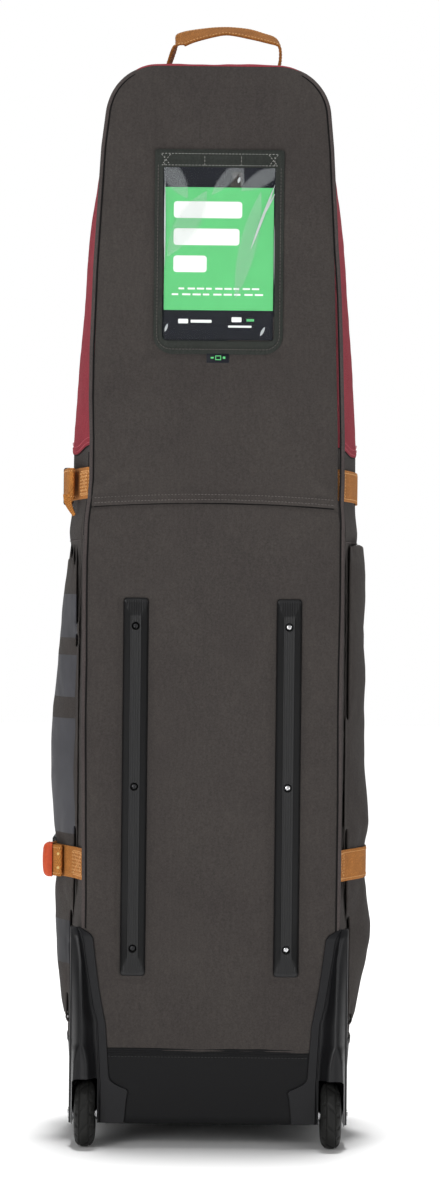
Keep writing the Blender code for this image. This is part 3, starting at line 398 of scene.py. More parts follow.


# streaks in the sleeve's film, white painted highlights first and grey painted reflections after: from (x, z)
# to (x, z), and half the width
FILM_PAINTED_HIGHLIGHTS = ((0.0675, 1.1600, 0.0377, 1.0791, 0.0017), (0.0678, 1.1490, 0.0500, 1.1150, 0.0012),
                (-0.0655, 1.1660, -0.0648, 1.0550, 0.0010), (0.0665, 1.1100, 0.0668, 1.0300, 0.0007),
                (0.0505, 0.9760, 0.0560, 0.9870, 0.0018), (-0.0640, 0.9800, -0.0605, 0.9900, 0.0016),
                (0.0222, 1.1590, 0.0242, 1.1665, 0.0017))
# the grey patches of painted reflection
FILM_PAINTED_REFLECTIONS = ((-0.0700, 1.1900, -0.0380, 1.1400, 0.0130), (0.0300, 1.1880, -0.0100, 1.1440, 0.0085),
               (0.0245, 1.1900, 0.0285, 1.1480, 0.0035), (0.0250, 1.1500, 0.0760, 1.1800, 0.0110),
               (-0.0150, 1.1500, -0.0620, 1.0700, 0.0160), (0.0500, 1.1500, 0.0200, 1.0200, 0.0120))

GREY = linear(66, 62, 60)
BURGUNDY = linear(150, 52, 64)
TAN = linear(172, 112, 54)

MATERIALS = {
    "cloth": woven("charcoal_cloth", GREY),
    "side_cloth": woven("charcoal_side_cloth", shade(GREY, 1.02)),
    "banded": banded("charcoal_banded_cloth", shade(GREY, 1.02), linear(68, 68, 72),
                     ((0.610, 0.663), (0.538, 0.589), (0.372, 0.512), (0.211, 0.264)), -0.111),
    "burgundy": woven("burgundy_cloth", BURGUNDY, heather=0.12, sheen=0.02),
    "lining": woven("lining_cloth", linear(92, 92, 95), pitch=0.0007, heather=0.06, rough=0.7),
    "boot": plain("coated_cloth", linear(21, 21, 22), 0.52, 700.0, 0.10, 0.0001, Specular_IOR_Level=0.12),
    "piping": woven("piping_cloth", linear(76, 70, 69), pitch=0.0008, heather=0.10),
    # near-black tubes laid in seams and creases as painted shade
    "painted_seam_shade": plain("seam_shadow_cloth", linear(20, 19, 19), 0.9),
    "binding": woven("binding_cloth", linear(52, 55, 52), pitch=0.0010, heather=0.18),
    "webbing": webbing_cloth("tan_webbing", TAN),
    # a darker copy of the tan webbing for the top handle: painted shade, as light from above falls on it
    "shaded_handle_webbing": webbing_cloth("shaded_handle_webbing", shade(TAN, 0.68)),
    "grey_thread": plain("grey_thread", linear(92, 87, 85), 0.7, 900.0),
    "pale_thread": plain("pale_thread", linear(150, 150, 146), 0.7, 900.0),
    "black_webbing": webbing_cloth("black_webbing", linear(40, 40, 41)),
    "red_thread": plain("red_thread", linear(176, 84, 94), 0.7, 900.0),
    "tan_thread": plain("tan_thread", linear(214, 166, 112), 0.6, 900.0),
    "black_thread": plain("black_thread", linear(52, 52, 52), 0.6, 900.0),
    # the rail and the housing are given painted shade on their sideways faces
    "rail": moulded("rail_plastic", linear(38, 38, 39), 1500.0, 0.00008, 0.40, painted_slope_shade=0.8),
    "housing": moulded("housing_plastic", linear(23, 23, 25), 1100.0, 0.00022, 0.36, 0.12, 0.22, painted_slope_shade=0.4),
    "plastic": moulded("sheet_plastic", linear(48, 48, 50), 900.0, 0.0001, 0.5),
    "buckle": moulded("buckle_plastic", linear(22, 22, 23), 1500.0, 0.00006, 0.36),
    "tyre": moulded("tyre_urethane", linear(31, 31, 30), 1300.0, 0.00010, 0.52, 0.16, 0.15),
    "hub": moulded("hub_plastic", linear(34, 34, 35), 1500.0, 0.00006, 0.4),
    "steel": metal("bright_steel", (0.72, 0.72, 0.73), 0.26),
    # a darkened copy of the steel for the left rail's screws: painted shade
    "shaded_screw_steel": metal("screw_steel_painted_shade", (0.045, 0.045, 0.047), 0.42),
    "brass": metal("brass_dot", (0.72, 0.50, 0.20), 0.35),
    "slider": metal("slider_metal", (0.16, 0.16, 0.165), 0.35),
    "pull": moulded("pull_tab", linear(38, 38, 39), 1500.0, 0.00006, 0.5),
    "zip": plain("zip_coil", linear(30, 30, 31), 0.45, 1200.0),
    "tape": woven("zip_tape", linear(34, 33, 33), pitch=0.0007, heather=0.1),
    "foam": woven("padding_cover", linear(88, 88, 92), pitch=0.0008, heather=0.08),
    "clear": film("clear_film"),
    "green": plain("green_card", linear(96, 193, 120), 0.45, 60.0, 0.03, 0.00002),
    "card_black": plain("black_card", linear(18, 20, 28), 0.45, 60.0, 0.05, 0.00002),
    "white": plain("white_ink", linear(236, 240, 236), 0.5, 60.0, 0.02, 0.00001),
    "orange": plain("orange_tab", linear(192, 78, 46), 0.5, 300.0, 0.08, 0.0001),
}


# ---------------------------------------------------------------- meshes

def finish_piece(obj, body, slot=None, *replaced):
    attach(obj, body)
    return labelled(obj, slot, *replaced)


def labelled(obj, slot=None, *replaced):
    if replaced:
        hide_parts(*replaced)
    return obj


def smoothed(mesh, degrees):
    """Shades a mesh smooth, with sharp edges where it bends by more than an angle."""
    mesh.shade_smooth()
    mesh.set_sharp_from_angle(angle=math.radians(degrees))


def mesh_piece(name, verts, faces, materials, smooth=35, indices=None, uvs=None):
    mesh = bpy.data.meshes.new(name)
    mesh.from_pydata(np.asarray(verts, float).tolist(), [], [list(map(int, f)) for f in faces])
    for key in materials:
        mesh.materials.append(MATERIALS[key])
    if indices is not None:
        mesh.polygons.foreach_set("material_index", np.asarray(indices, np.int32))
    if uvs is not None:
        layer = mesh.uv_layers.new(name="UVMap")
        loops = np.empty(len(mesh.loops), np.int32)
        mesh.loops.foreach_get("vertex_index", loops)
        layer.data.foreach_set("uv", np.asarray(uvs, np.float32)[loops].reshape(-1))
    mesh.validate()
    smoothed(mesh, smooth)
    obj = bpy.data.objects.new(name, mesh)
    bpy.context.scene.collection.objects.link(obj)
    return obj


def face_normals(points):
    """Unit normals of a grid of points."""
    normal = np.cross(np.gradient(points, axis=1), np.gradient(points, axis=0))
    length = np.linalg.norm(normal, axis=-1, keepdims=True)
    return normal / np.maximum(length, 1e-12)


def slab_faces(rows, columns):
    """Faces between two grids of points, the second stored after the first, and round their rim."""
    count = rows * columns
    index = np.arange(count).reshape(rows, columns)
    front = np.stack([index[:-1, :-1], index[:-1, 1:], index[1:, 1:], index[1:, :-1]], -1).reshape(-1, 4)
    rim = np.concatenate([index[0], index[1:, -1], index[-1, -2::-1], index[-2:0:-1, 0]])
    after = np.roll(rim, -1)
    edge = np.stack([after, rim, rim + count, after + count], -1)
    return np.concatenate([front, front[:, ::-1] + count, edge])


def tube_faces(rings, sides):
    """Faces along a row of rings of points, with closed ends."""
    index = np.arange(rings * sides).reshape(rings, sides)
    nxt = np.roll(index, -1, axis=1)
    faces = np.stack([index[:-1], index[1:], nxt[1:], nxt[:-1]], -1).reshape(-1, 4).tolist()
    return faces + [index[0].tolist(), index[-1][::-1].tolist()]


def loop_faces(rings, sides):
    """Faces round a closed loop of rings of points."""
    index = np.arange(rings * sides).reshape(rings, sides)
    around = np.roll(index, -1, axis=0)
    faces = np.stack([index, around, np.roll(around, -1, axis=1), np.roll(index, -1, axis=1)], -1)
    return faces.reshape(-1, 4)


def sheet(name, points, thickness, materials, away=(0.0, 0.0, 0.65), smooth=50):
    """A closed sheet. points is the grid of its outer face, which looks away from a point."""
    points = np.asarray(points, float)
    normal = face_normals(points)
    outwards = np.sum(normal * (points - np.array(away)))
    if outwards < 0:
        points = points[:, ::-1]
        normal = face_normals(points)
    rows, columns = points.shape[:2]
    along_u = np.linalg.norm(np.diff(points, axis=1, prepend=points[:, :1]), axis=-1).cumsum(axis=1)
    along_v = np.linalg.norm(np.diff(points, axis=0, prepend=points[:1]), axis=-1).cumsum(axis=0)
    uvs = np.stack([along_u, along_v], -1).reshape(-1, 2)
    verts = np.concatenate([points.reshape(-1, 3), (points - normal * thickness).reshape(-1, 3)])
    faces = slab_faces(rows, columns)
    indices = np.zeros(len(faces), np.int32)
    if len(materials) > 1:
        face_count = (rows - 1) * (columns - 1)
        indices[face_count:2 * face_count] = 1
    return mesh_piece(name, verts, faces, materials, smooth, indices, np.concatenate([uvs, uvs]))


def resample(path, spacing, count=None):
    """Evenly spaced points along a path."""
    path = np.asarray(path, float)
    steps = np.linalg.norm(np.diff(path, axis=0), axis=1)
    place = np.concatenate([[0], np.cumsum(steps)])
    count = count or max(int(place[-1] / spacing) + 1, 3)
    even = np.linspace(0, place[-1], count)
    return np.stack([np.interp(even, place, path[:, i]) for i in range(path.shape[1])], -1)


def spline(points, count):
    """A smooth curve through points (Catmull-Rom)."""
    points = [Vector(p) for p in points]
    padded = [2 * points[0] - points[1], *points, 2 * points[-1] - points[-2]]
    result = []
    spans = len(points) - 1
    for k in range(count):
        t = k / (count - 1) * spans
        i = min(int(t), spans - 1)
        f = t - i
        a, b, c, d = padded[i:i + 4]
        result.append(0.5 * ((2 * b) + (c - a) * f + (2 * a - 5 * b + 4 * c - d) * f * f
                             + (3 * b - a - 3 * c + d) * f ** 3))
    return np.array([tuple(p) for p in result])


def path_frames(path, normals):
    """Tangents, sideways vectors and true normals along a path."""
    tangent = np.gradient(path, axis=0)
    tangent /= np.linalg.norm(tangent, axis=1, keepdims=True)
    normals = np.broadcast_to(np.asarray(normals, float), path.shape)
    across = np.cross(tangent, normals)
    across /= np.maximum(np.linalg.norm(across, axis=1, keepdims=True), 1e-9)
    return tangent, across, np.cross(across, tangent)


def spread(normals, count):
    """Normals resampled to a count; a single normal is passed on."""
    normals = np.asarray(normals, float)
    if normals.ndim < 2:
        return normals
    places, own = np.linspace(0, 1, count), np.linspace(0, 1, len(normals))
    return np.stack([np.interp(places, own, normals[:, i]) for i in range(3)], -1)


def sweep_data(path, normals, profile, scale=None):
    """Vertices, faces and UVs of a profile of (across, out) offsets carried along a path."""
    path = np.asarray(path, float)
    profile = np.asarray(profile, float)
    _, across, out = path_frames(path, normals)
    scale = np.ones(len(path)) if scale is None else np.asarray(scale, float)
    ring = (across[:, None] * profile[None, :, :1] * scale[:, None, None]
            + out[:, None] * profile[None, :, 1:] * np.sqrt(scale)[:, None, None])
    verts = (path[:, None] + ring).reshape(-1, 3)
    length = np.concatenate([[0], np.cumsum(np.linalg.norm(np.diff(path, axis=0), axis=1))])
    uvs = np.stack(np.broadcast_arrays(length[:, None], profile[None, :, 0]), -1).reshape(-1, 2)
    return verts, tube_faces(len(path), len(profile)), uvs


def outward(obj):
    """Turns a closed mesh's faces outwards."""
    bm = bmesh.new()
    bm.from_mesh(obj.data)
    bmesh.ops.recalc_face_normals(bm, faces=bm.faces)
    bm.to_mesh(obj.data)
    bm.free()
    return obj


def sweep(name, path, normals, profile, material, scale=None, smooth=40):
    verts, faces, uvs = sweep_data(path, normals, profile, scale)
    return outward(mesh_piece(name, verts, faces, [material], smooth, None, uvs))


def circle(radius, sides=12):
    angles = [2 * math.pi * i / sides for i in range(sides)]
    return [(radius * math.cos(a), radius * math.sin(a)) for a in angles]


def oval(wide, tall, sides):
    return [(wide * c, tall * s) for c, s in circle(1.0, sides)]


def strap_profile(width, thick):
    """A webbing strap's section, with thin rounded edges and a slightly ribbed face."""
    half, lift = width / 2, thick / 2
    top = [(half * u, lift * v) for u, v in ((1.0, 0.2), (0.985, 0.75), (0.95, 1.0), (0.6, 0.94),
                                             (0.25, 1.0), (0, 0.94))]
    upper = top + [(-x, y) for x, y in top[-2::-1]]
    return upper + [(x, -y) for x, y in reversed(upper)]


def strap(name, path, normals, material="webbing", width=STRAP_WIDTH, thick=STRAP_THICK):
    return sweep(name, path, normals, strap_profile(width, thick), material)


def stitches(name, rows, material, length=0.0031, gap=0.0014, radius=0.00042):
    """Rows of raised thread. Each row is (path, outward normals)."""
    verts, faces = [], []
    for path, normals in rows:
        path = resample(path, 0.001)
        tangent, across, out = path_frames(path, spread(normals, len(path)))
        step = max(int(round((length + gap) * 1000)), 2)
        for k in range(step // 2, len(path) - step // 2, step):
            centre, t, a, o = path[k], tangent[k], across[k], out[k]
            start = len(verts)
            for along, size in ((-0.5, 0.35), (-0.28, 1.0), (0.28, 1.0), (0.5, 0.35)):
                for turn in range(6):
                    angle = turn * math.pi / 3
                    rise = radius * (0.35 if abs(along) < 0.4 else -0.5)
                    verts.append(centre + t * along * length + a * radius * size * math.cos(angle)
                                 + o * (radius * size * math.sin(angle) + rise))
            for ring in range(3):
                for turn in range(6):
                    i, j = start + ring * 6 + turn, start + ring * 6 + (turn + 1) % 6
                    faces.append((i, j, j + 6, i + 6))
            faces.append(tuple(start + turn for turn in range(5, -1, -1)))
            faces.append(tuple(start + 18 + turn for turn in range(6)))
    return outward(mesh_piece(name, verts, faces, [material], 60))


def bevelled_box(name, low, high, material, bevel=0.0012, segments=3):
    bm = bmesh.new()
    bmesh.ops.create_cube(bm, size=1.0)
    bmesh.ops.scale(bm, vec=Vector(high) - Vector(low), verts=bm.verts)
    bmesh.ops.translate(bm, vec=(Vector(high) + Vector(low)) / 2, verts=bm.verts)
    bmesh.ops.bevel(bm, geom=bm.edges[:], offset=bevel, segments=segments, affect="EDGES", profile=0.5)
    return from_bmesh(name, bm, material)


def extruded(outline, step):
    """A flat outline of points drawn out by a step."""
    bm = bmesh.new()
    face = bm.faces.new([bm.verts.new(point) for point in outline])
    drawn = bmesh.ops.extrude_face_region(bm, geom=[face])
    verts = [v for v in drawn["geom"] if isinstance(v, bmesh.types.BMVert)]
    bmesh.ops.translate(bm, vec=step, verts=verts)
    return bm


def from_bmesh(name, bm, material, smooth=40):
    bmesh.ops.recalc_face_normals(bm, faces=bm.faces)
    mesh = bpy.data.meshes.new(name)
    bm.to_mesh(mesh)
    bm.free()
    mesh.materials.append(MATERIALS[material])
    smoothed(mesh, smooth)
    obj = bpy.data.objects.new(name, mesh)
    bpy.context.scene.collection.objects.link(obj)
    return obj


def turned(name, profile, centre, material, steps=64, axis="X"):
    """A closed profile of (radius, place along the axis) points turned about it."""
    turn = {"X": Matrix.Rotation(math.pi / 2, 3, "Y"), "Y": Matrix.Rotation(-math.pi / 2, 3, "X"),
            "Z": Matrix.Identity(3)}[axis]
    profile = np.asarray(profile, float)
    angles = np.linspace(0, 2 * math.pi, steps, endpoint=False)
    ring = np.stack([np.outer(np.cos(angles), profile[:, 0]), np.outer(np.sin(angles), profile[:, 0]),
                     np.broadcast_to(profile[:, 1], (steps, len(profile)))], -1)
    verts = ring.reshape(-1, 3) @ np.array(turn.transposed()) + np.array(centre)
    obj = mesh_piece(name, verts, loop_faces(steps, len(profile)), [material], 40)
    bm = bmesh.new()
    bm.from_mesh(obj.data)
    bmesh.ops.remove_doubles(bm, verts=bm.verts, dist=1e-6)
    bmesh.ops.dissolve_degenerate(bm, edges=bm.edges, dist=1e-7)
    bm.to_mesh(obj.data)
    bm.free()
    return outward(obj)


def join(name, *objects):
    """Makes one object of several, keeping their materials."""
    with bpy.context.temp_override(active_object=objects[0], selected_editable_objects=list(objects),
                                   object=objects[0]):
        bpy.ops.object.join()
    objects[0].name = name
    return objects[0]


def cut(obj, cutter, operation="DIFFERENCE"):
    """Applies a Boolean at once, and takes the cutter away."""
    modifier = obj.modifiers.new("cut", "BOOLEAN")
    modifier.operation, modifier.object, modifier.solver = operation, cutter, "EXACT"
    apply_modifiers(obj)
    bpy.data.objects.remove(cutter)
    return obj


def apply_modifiers(obj):
    graph = bpy.context.evaluated_depsgraph_get()
    made = bpy.data.meshes.new_from_object(obj.evaluated_get(graph), preserve_all_data_layers=True,
                                           depsgraph=graph)
    obj.modifiers.clear()
    obj.data = made
    return obj


# ---------------------------------------------------------------- the back panels

def seam_z(x):
    """The waist seam, a little higher in the middle."""
    return 0.7678 + 0.0058 * (1 - np.minimum(np.abs(x) / 0.15, 1.0) ** 2)


# soft creases in the back near the waist seam: height, from (x, z), to (x, z), half the width
BACK_FOLDS = ((0.0022, (-0.147, 0.784), (-0.085, 0.835), 0.0065),
              (-0.0012, (-0.147, 0.774), (-0.075, 0.812), 0.0060),
              (0.0014, (0.147, 0.783), (0.095, 0.822), 0.0060),
              (0.0012, (-0.149, 0.752), (-0.100, 0.700), 0.0080),
              (0.0010, (0.149, 0.752), (0.105, 0.705), 0.0080))


def fold(x, z, start, end, width):
    """A soft crease from one point to another on the back, 0 to 1."""
    (ax, az), (bx, bz) = start, end
    length = math.hypot(bx - ax, bz - az)
    along = ((x - ax) * (bx - ax) + (z - az) * (bz - az)) / length
    away = ((x - ax) * (bz - az) - (z - az) * (bx - ax)) / length
    fade = smoothstep(-0.01, 0.02, along) * (1 - smoothstep(length * 0.3, length, along))
    return np.exp(-(away / width) ** 2) * fade


def back_swell(x, z):
    """How far the back cloth stands out from the back plane."""
    x, z = np.asarray(x, float), np.asarray(z, float)
    over = np.maximum(z - (CROWN_Z - CROWN_R), 0.0)
    inset = CROWN_R - np.sqrt(np.maximum(CROWN_R ** 2 - over ** 2, 0.0))
    edge = np.minimum(back_half(z) - inset - np.abs(x), CROWN_Z - z)
    swell = 0.0024 * (1 - np.exp(-np.maximum(edge, 0) / 0.011))
    from_seam = z - seam_z(x)
    swell -= 0.0022 * np.exp(-(from_seam / 0.0022) ** 2)
    hem = smoothstep(0.0, 0.0012, from_seam) * (1 - smoothstep(0.0125, 0.0150, from_seam))
    lip = np.exp(-((x - 0.004) / 0.035) ** 2) * np.exp(-((from_seam - 0.002) / 0.003) ** 2)
    swell += 0.0009 * hem + 0.0012 * lip
    under = smoothstep(-0.045, -0.003, from_seam) * (from_seam < 0)
    swell += under * 0.0005 * np.sin(x / 0.0105 + 1.7 * np.sin(x / 0.031))
    above = (1 - smoothstep(0.015, 0.05, from_seam)) * (from_seam > 0.015)
    swell += above * 0.0004 * np.sin(x / 0.014 + 1.3 * np.sin(x / 0.027) + 0.8)
    for height, start, end, width in BACK_FOLDS:
        swell += height * fold(x, z, start, end, width)
    for side in (-1, 1):
        rail = np.maximum(np.abs(x - side * RAIL_X) - 0.0155, 0)
        ends = np.maximum(np.maximum(RAIL_LOW_Z - z, z - RAIL_HIGH_Z), 0)
        swell *= 1 - 0.85 * np.exp(-(np.hypot(rail, ends) / 0.005) ** 2)
    sleeve = np.maximum(np.abs(x) - SLEEVE_HALF, 0)
    tall = np.maximum(np.maximum(SLEEVE_LOW_Z - z, z - SLEEVE_HIGH_Z), 0)
    swell *= 1 - 0.8 * np.exp(-(np.hypot(sleeve, tall) / 0.006) ** 2)
    return swell


def back_y(x, z):
    """The back cloth's depth; it is pulled flat where the card slides up over it."""
    lane = 1 - smoothstep(0.067, 0.086, np.abs(np.asarray(x, float) - SLEEVE_SHIFT_X))
    lane = lane * smoothstep(WINDOW_HIGH_Z - 0.008, WINDOW_HIGH_Z, np.asarray(z, float))
    return BACK_Y - back_swell(x, z) * (1 - lane)


def back_rows(low, high, step):
    """(height, half width) pairs up the back panel, round the top corners where it reaches them."""
    bend = CROWN_Z - CROWN_R
    rows = [(z, float(back_half(z))) for z in np.arange(low, min(high, bend), step)]
    if high >= CROWN_Z:
        for a in np.linspace(0, math.pi / 2, 34):
            z = bend + CROWN_R * math.sin(a)
            rows.append((z, float(back_half(z)) - CROWN_R * (1 - math.cos(a))))
    else:
        rows.append((high, float(back_half(high))))
    return rows


def back_panel(name, low, high, node, shaped_low=None, shaped_high=None):
    """One cloth panel of the back, between two heights or the seam's curve."""
    rows = np.array(back_rows(low, high, 0.0028))
    across = np.sin(np.linspace(-1, 1, 120) * math.pi / 2 * 0.86) / math.sin(math.pi / 2 * 0.86)
    x = rows[:, 1:] * across
    z = np.broadcast_to(rows[:, :1], x.shape).copy()
    share = (z - low) / (high - low)
    if shaped_low is not None:
        z += (shaped_low(x) - low) * (1 - share) ** 6
    if shaped_high is not None:
        z += (shaped_high(x) - high) * share ** 6
    points = np.stack([x, back_y(x, z), z], -1)
    ripples = noise_at(points, 14.0, 3.1, (1.0, 1.0, 0.7)) * 0.0009 + noise_at(points, 45.0, 8.7) * 0.0003
    edge = np.minimum(1, (rows[:, 1:] - np.abs(x)) / 0.03)
    points[..., 1] -= ripples * edge
    piece = sheet(name, points, CLOTH, ["cloth", "lining"])
    return finish_piece(piece, "case", "charcoal_cloth", node)


def back_line(out, low, step=0.004):
    """Points round the back panel's edge, moved outwards, from the left foot over the top to the right."""
    bend = CROWN_Z - CROWN_R
    left = [(-(float(back_half(z)) + out), z) for z in np.arange(low, bend, step)]
    for a in np.linspace(0, math.pi / 2, 22):
        z = bend + (CROWN_R + out) * math.sin(a)
        left.append((-(float(back_half(min(z, CROWN_Z))) - CROWN_R + (CROWN_R + out) * math.cos(a)), z))
    top = [(x, CROWN_Z + out) for x in np.arange(left[-1][0] + step, -left[-1][0] - step / 2, step)]
    return left + top + [(-x, z) for x, z in reversed(left)]


def outline_normals(points, y_share=0.7):
    """Normals that lean outwards from the back's edge."""
    path = np.array([(x, 0.0, z) for x, z in points])
    tangent = np.gradient(path, axis=0)
    tangent /= np.linalg.norm(tangent, axis=1, keepdims=True)
    outwards = np.stack([-tangent[:, 2], np.zeros(len(path)), tangent[:, 0]], -1)
    return outwards * (1 - y_share) + np.array([0.0, -y_share, 0.0])


# how far the painted shade line in the piping's crease lies outside the back's outline, by height, on each
# side
CREASE_SHADE_LEFT = ((0.262, -0.0022), (0.300, -0.0024), (0.418, -0.0014), (0.514, -0.0004), (0.586, -0.0012),
               (0.658, -0.0004), (0.706, -0.0003), (0.742, -0.0014), (0.770, -0.0014), (0.802, -0.0034),
               (0.850, -0.0030), (0.898, -0.0002), (0.958, 0.0012), (1.018, 0.0009), (1.200, 0.0004),
               (1.255, -0.0034), (1.300, -0.0040))
CREASE_SHADE_RIGHT = ((0.262, 0.0009), (0.418, 0.0009), (0.514, -0.0003), (0.586, -0.0003), (0.658, 0.0009),
                (0.742, 0.0009), (0.766, 0.0020), (0.802, 0.0032), (0.958, 0.0032), (1.018, 0.0028),
                (1.078, 0.0009), (1.200, 0.0006), (1.255, -0.0016), (1.300, -0.0040))
PIPING_WIDTH = 0.0055


def welt():
    """The piping round the back's edge, and dark tubes of painted shade in the creases on both sides of it.
    """
    line = np.array(back_line(0.0, PIPING_LOW_Z))
    outward_step = (np.array(back_line(0.001, PIPING_LOW_Z)) - line) / 0.001
    wave = np.array([0.0004 * noise.noise(Vector((x * 30, 4.2, z * 30))) for x, z in line])
    out = np.where(line[:, 0] < 0, np.interp(line[:, 1], *zip(*CREASE_SHADE_LEFT)),
                   np.interp(line[:, 1], *zip(*CREASE_SHADE_RIGHT)))
    inner = line + outward_step * out[:, None]
    middle = inner + outward_step * PIPING_WIDTH / 2
    sunk = 0.0012 + 0.0026 * smoothstep(CROWN_Z - 0.012, CROWN_Z - 0.004, middle[:, 1])
    path = [(x, BACK_Y + depth + w, z) for (x, z), depth, w in zip(middle, sunk, wave)]
    pieces = [sweep("back_piping_welt", path, outline_normals(middle), oval(0.0025, 0.0024, 14), "piping")]
    for side in (-1, 1):
        # dark tubes of painted shade in the creases inside and outside the piping
        near = (line[:, 0] * side > 0.100) & (inner[:, 1] < CROWN_Z - 0.002)
        path = [(x, BACK_Y - 0.0004, z) for x, z in inner[near]]
        pieces.append(sweep("inner_crease", path, outline_normals(inner[near]), circle(0.0010, 8), "painted_seam_shade"))
        near &= (line[:, 1] < HOOD_Z - 0.004) & (line[:, 1] > POCKET_HIGH_Z + 0.016)
        path, depths = [], np.linspace(BACK_Y, BACK_Y + 0.035, 60)
        for x, z in inner[near]:
            reach = abs(x) + PIPING_WIDTH
            y = float(np.interp(reach, side_half(depths, np.full(60, z)), depths))
            path.append((side * reach, y - 0.0002, z))
        pieces.append(sweep("outer_crease", path, (side * 0.5, -1, 0), circle(0.0011, 8), "painted_seam_shade"))
    finish_piece(join("back_piping_welt", *pieces), "case", "piping", "back_piping")


def waist_seam():
    """The seam's shadow line and the two rows of stitches above it."""
    x = np.linspace(-0.1440, 0.1440, 150)
    dark = [(a, float(back_y(a, seam_z(a))) - 0.0002, float(seam_z(a)) - 0.0004) for a in x]
    line = sweep("waist_seam_shadow", dark, (0, -1, 0), circle(0.0008, 6), "painted_seam_shade")
    finish_piece(line, "case", "charcoal_cloth")
    rows = []
    for up in SEAM_ROWS:
        rows.append(([(a, float(back_y(a, seam_z(a) + up)), float(seam_z(a)) + up) for a in x], (0, -1, 0)))
    finish_piece(stitches("waist_seam_stitches", rows, "grey_thread"), "case", "charcoal_cloth")


# ---------------------------------------------------------------- the gussets and the hood

def pocket_back(z):
    return POCKET_LOW_BACK_Y + (POCKET_BACK_Y - POCKET_LOW_BACK_Y) * np.clip((z - 0.262) / 0.05, 0, 1)


def strap_squeeze(y, z):
    """How far the straps press the side cloth in."""
    squeeze = np.zeros(np.broadcast(y, z).shape)
    for height in (LOWER_STRAP_Z, UPPER_STRAP_Z):
        squeeze = squeeze + 0.0014 * np.exp(-((z - height) / 0.022) ** 4)
    return squeeze * smoothstep(BACK_Y + 0.01, BACK_Y + 0.05, y)


def side_wrinkles(points, side):
    """Soft folds in a side's cloth, stronger towards the seams at the back and the foot."""
    y, z = points[..., 1], points[..., 2]
    broad = noise_at(points, 16.0, 5.0 * side + 20, (1.0, 1.0, 0.55)) * 0.0016
    fine = noise_at(points, 55.0, 9.0 * side + 40, (1.0, 0.6, 1.2)) * 0.0005
    near_back = np.exp(-np.abs(y - BACK_Y) / 0.022)
    pucker = 0.0007 * near_back * np.sin(z / 0.0026 + 3 * noise_at(points, 30.0, 2.0))
    hold = smoothstep(BACK_Y, BACK_Y + 0.015, y) * (1 - smoothstep(SPLIT_Y - 0.02, SPLIT_Y - 0.004, y))
    ridge = 0.0020 * np.exp(-((y - pocket_back(z) - 0.0045) / 0.0030) ** 2)
    ridge *= smoothstep(0.690, 0.715, z) * (1 - smoothstep(0.745, 0.770, z))
    return (broad + fine) * hold + pucker * smoothstep(BACK_Y, BACK_Y + 0.004, y) + ridge


def gusset_depths():
    """Depths from the back's piping to the zip, closer together near the piping."""
    return BACK_Y + 0.0005 + (SPLIT_Y - ZIP_GAP - BACK_Y) * np.linspace(0, 1, 62) ** 1.15


def gusset(side):
    """The grey cloth of one side, from the back's piping to the zip."""
    name = "left" if side < 0 else "right"
    z = np.arange(BOOT_TOP_Z - 0.004, HOOD_Z + 0.0001, 0.0032)
    y = gusset_depths()
    yy, zz = np.meshgrid(y, z)
    x = side_half(yy, zz) - strap_squeeze(yy, zz)
    points = np.stack([side * x, yy, zz], -1)
    points[..., 0] += side * (side_wrinkles(points, side) - 0.0004)
    piece = sheet(f"{name}_gusset_cloth", points, CLOTH, ["side_cloth", "lining"])
    finish_piece(piece, "case", "charcoal_cloth", f"{name}_gusset")


def crown_lift(x, y, reach):
    """The crown's swell over its flat top."""
    rise = 1 - np.exp(-(y - BACK_Y) / 0.010)
    return CROWN_SWELL * rise * (1 - (np.abs(x) / reach) ** 4)


def hem_drop(y):
    """How far the burgundy's lower hem hangs under its seam, by depth."""
    return 0.0085 * smoothstep(BACK_Y + 0.010, BACK_Y + 0.080, y) * (1 - smoothstep(-0.060, 0.010, y))


def hood_point_rows(y, low):
    """The hood's outline at each depth: up the left side, over the crown and down the right side."""
    bend = CROWN_Z - CROWN_R
    straight = np.arange(low, bend, 0.0035)
    angles = np.linspace(0, math.pi / 2, 26)
    z = np.concatenate([straight, bend + CROWN_R * np.sin(angles)])
    inset = np.concatenate([np.zeros(len(straight)), CROWN_R * (1 - np.cos(angles))])
    turn = np.concatenate([np.zeros(len(straight)), np.sin(angles) ** 2])
    yy, zz = np.meshgrid(y, z)
    x = side_half(yy, zz) - inset[:, None] + 0.0010 * np.exp(-(zz - low) / 0.005)
    end = x[-1]
    lifted = zz + turn[:, None] ** 2 * crown_lift(np.abs(x), yy, 0.124)
    lifted -= hem_drop(yy) * np.exp(-((zz - low) / 0.012) ** 2)
    left = np.stack([-x, yy, lifted], -1)
    share = np.linspace(-1, 1, 62)[1:-1]
    top_x = share[:, None] * end[None, :]
    top_y = np.broadcast_to(y, top_x.shape)
    top = np.stack([top_x, top_y, CROWN_Z + crown_lift(np.abs(top_x), top_y, 0.124)], -1)
    right = left[::-1].copy()
    right[..., 0] *= -1
    return np.concatenate([left, top, right])


def hood_cloth():
    """The burgundy cloth over the top and down both sides."""
    y = gusset_depths()
    points = hood_point_rows(y, HOOD_Z + 0.0004)
    normal = face_normals(points)
    if np.sum(normal * (points - np.array((0, 0, 1.0)))) < 0:
        normal = -normal
    amount = side_wrinkles(points, 1) * 0.9
    points += normal * amount[..., None]
    piece = sheet("hood_gusset_cloth", points, CLOTH, ["burgundy", "lining"], (0, 0, 1.0))
    finish_piece(piece, "case", "burgundy_cloth", "hood_gusset")


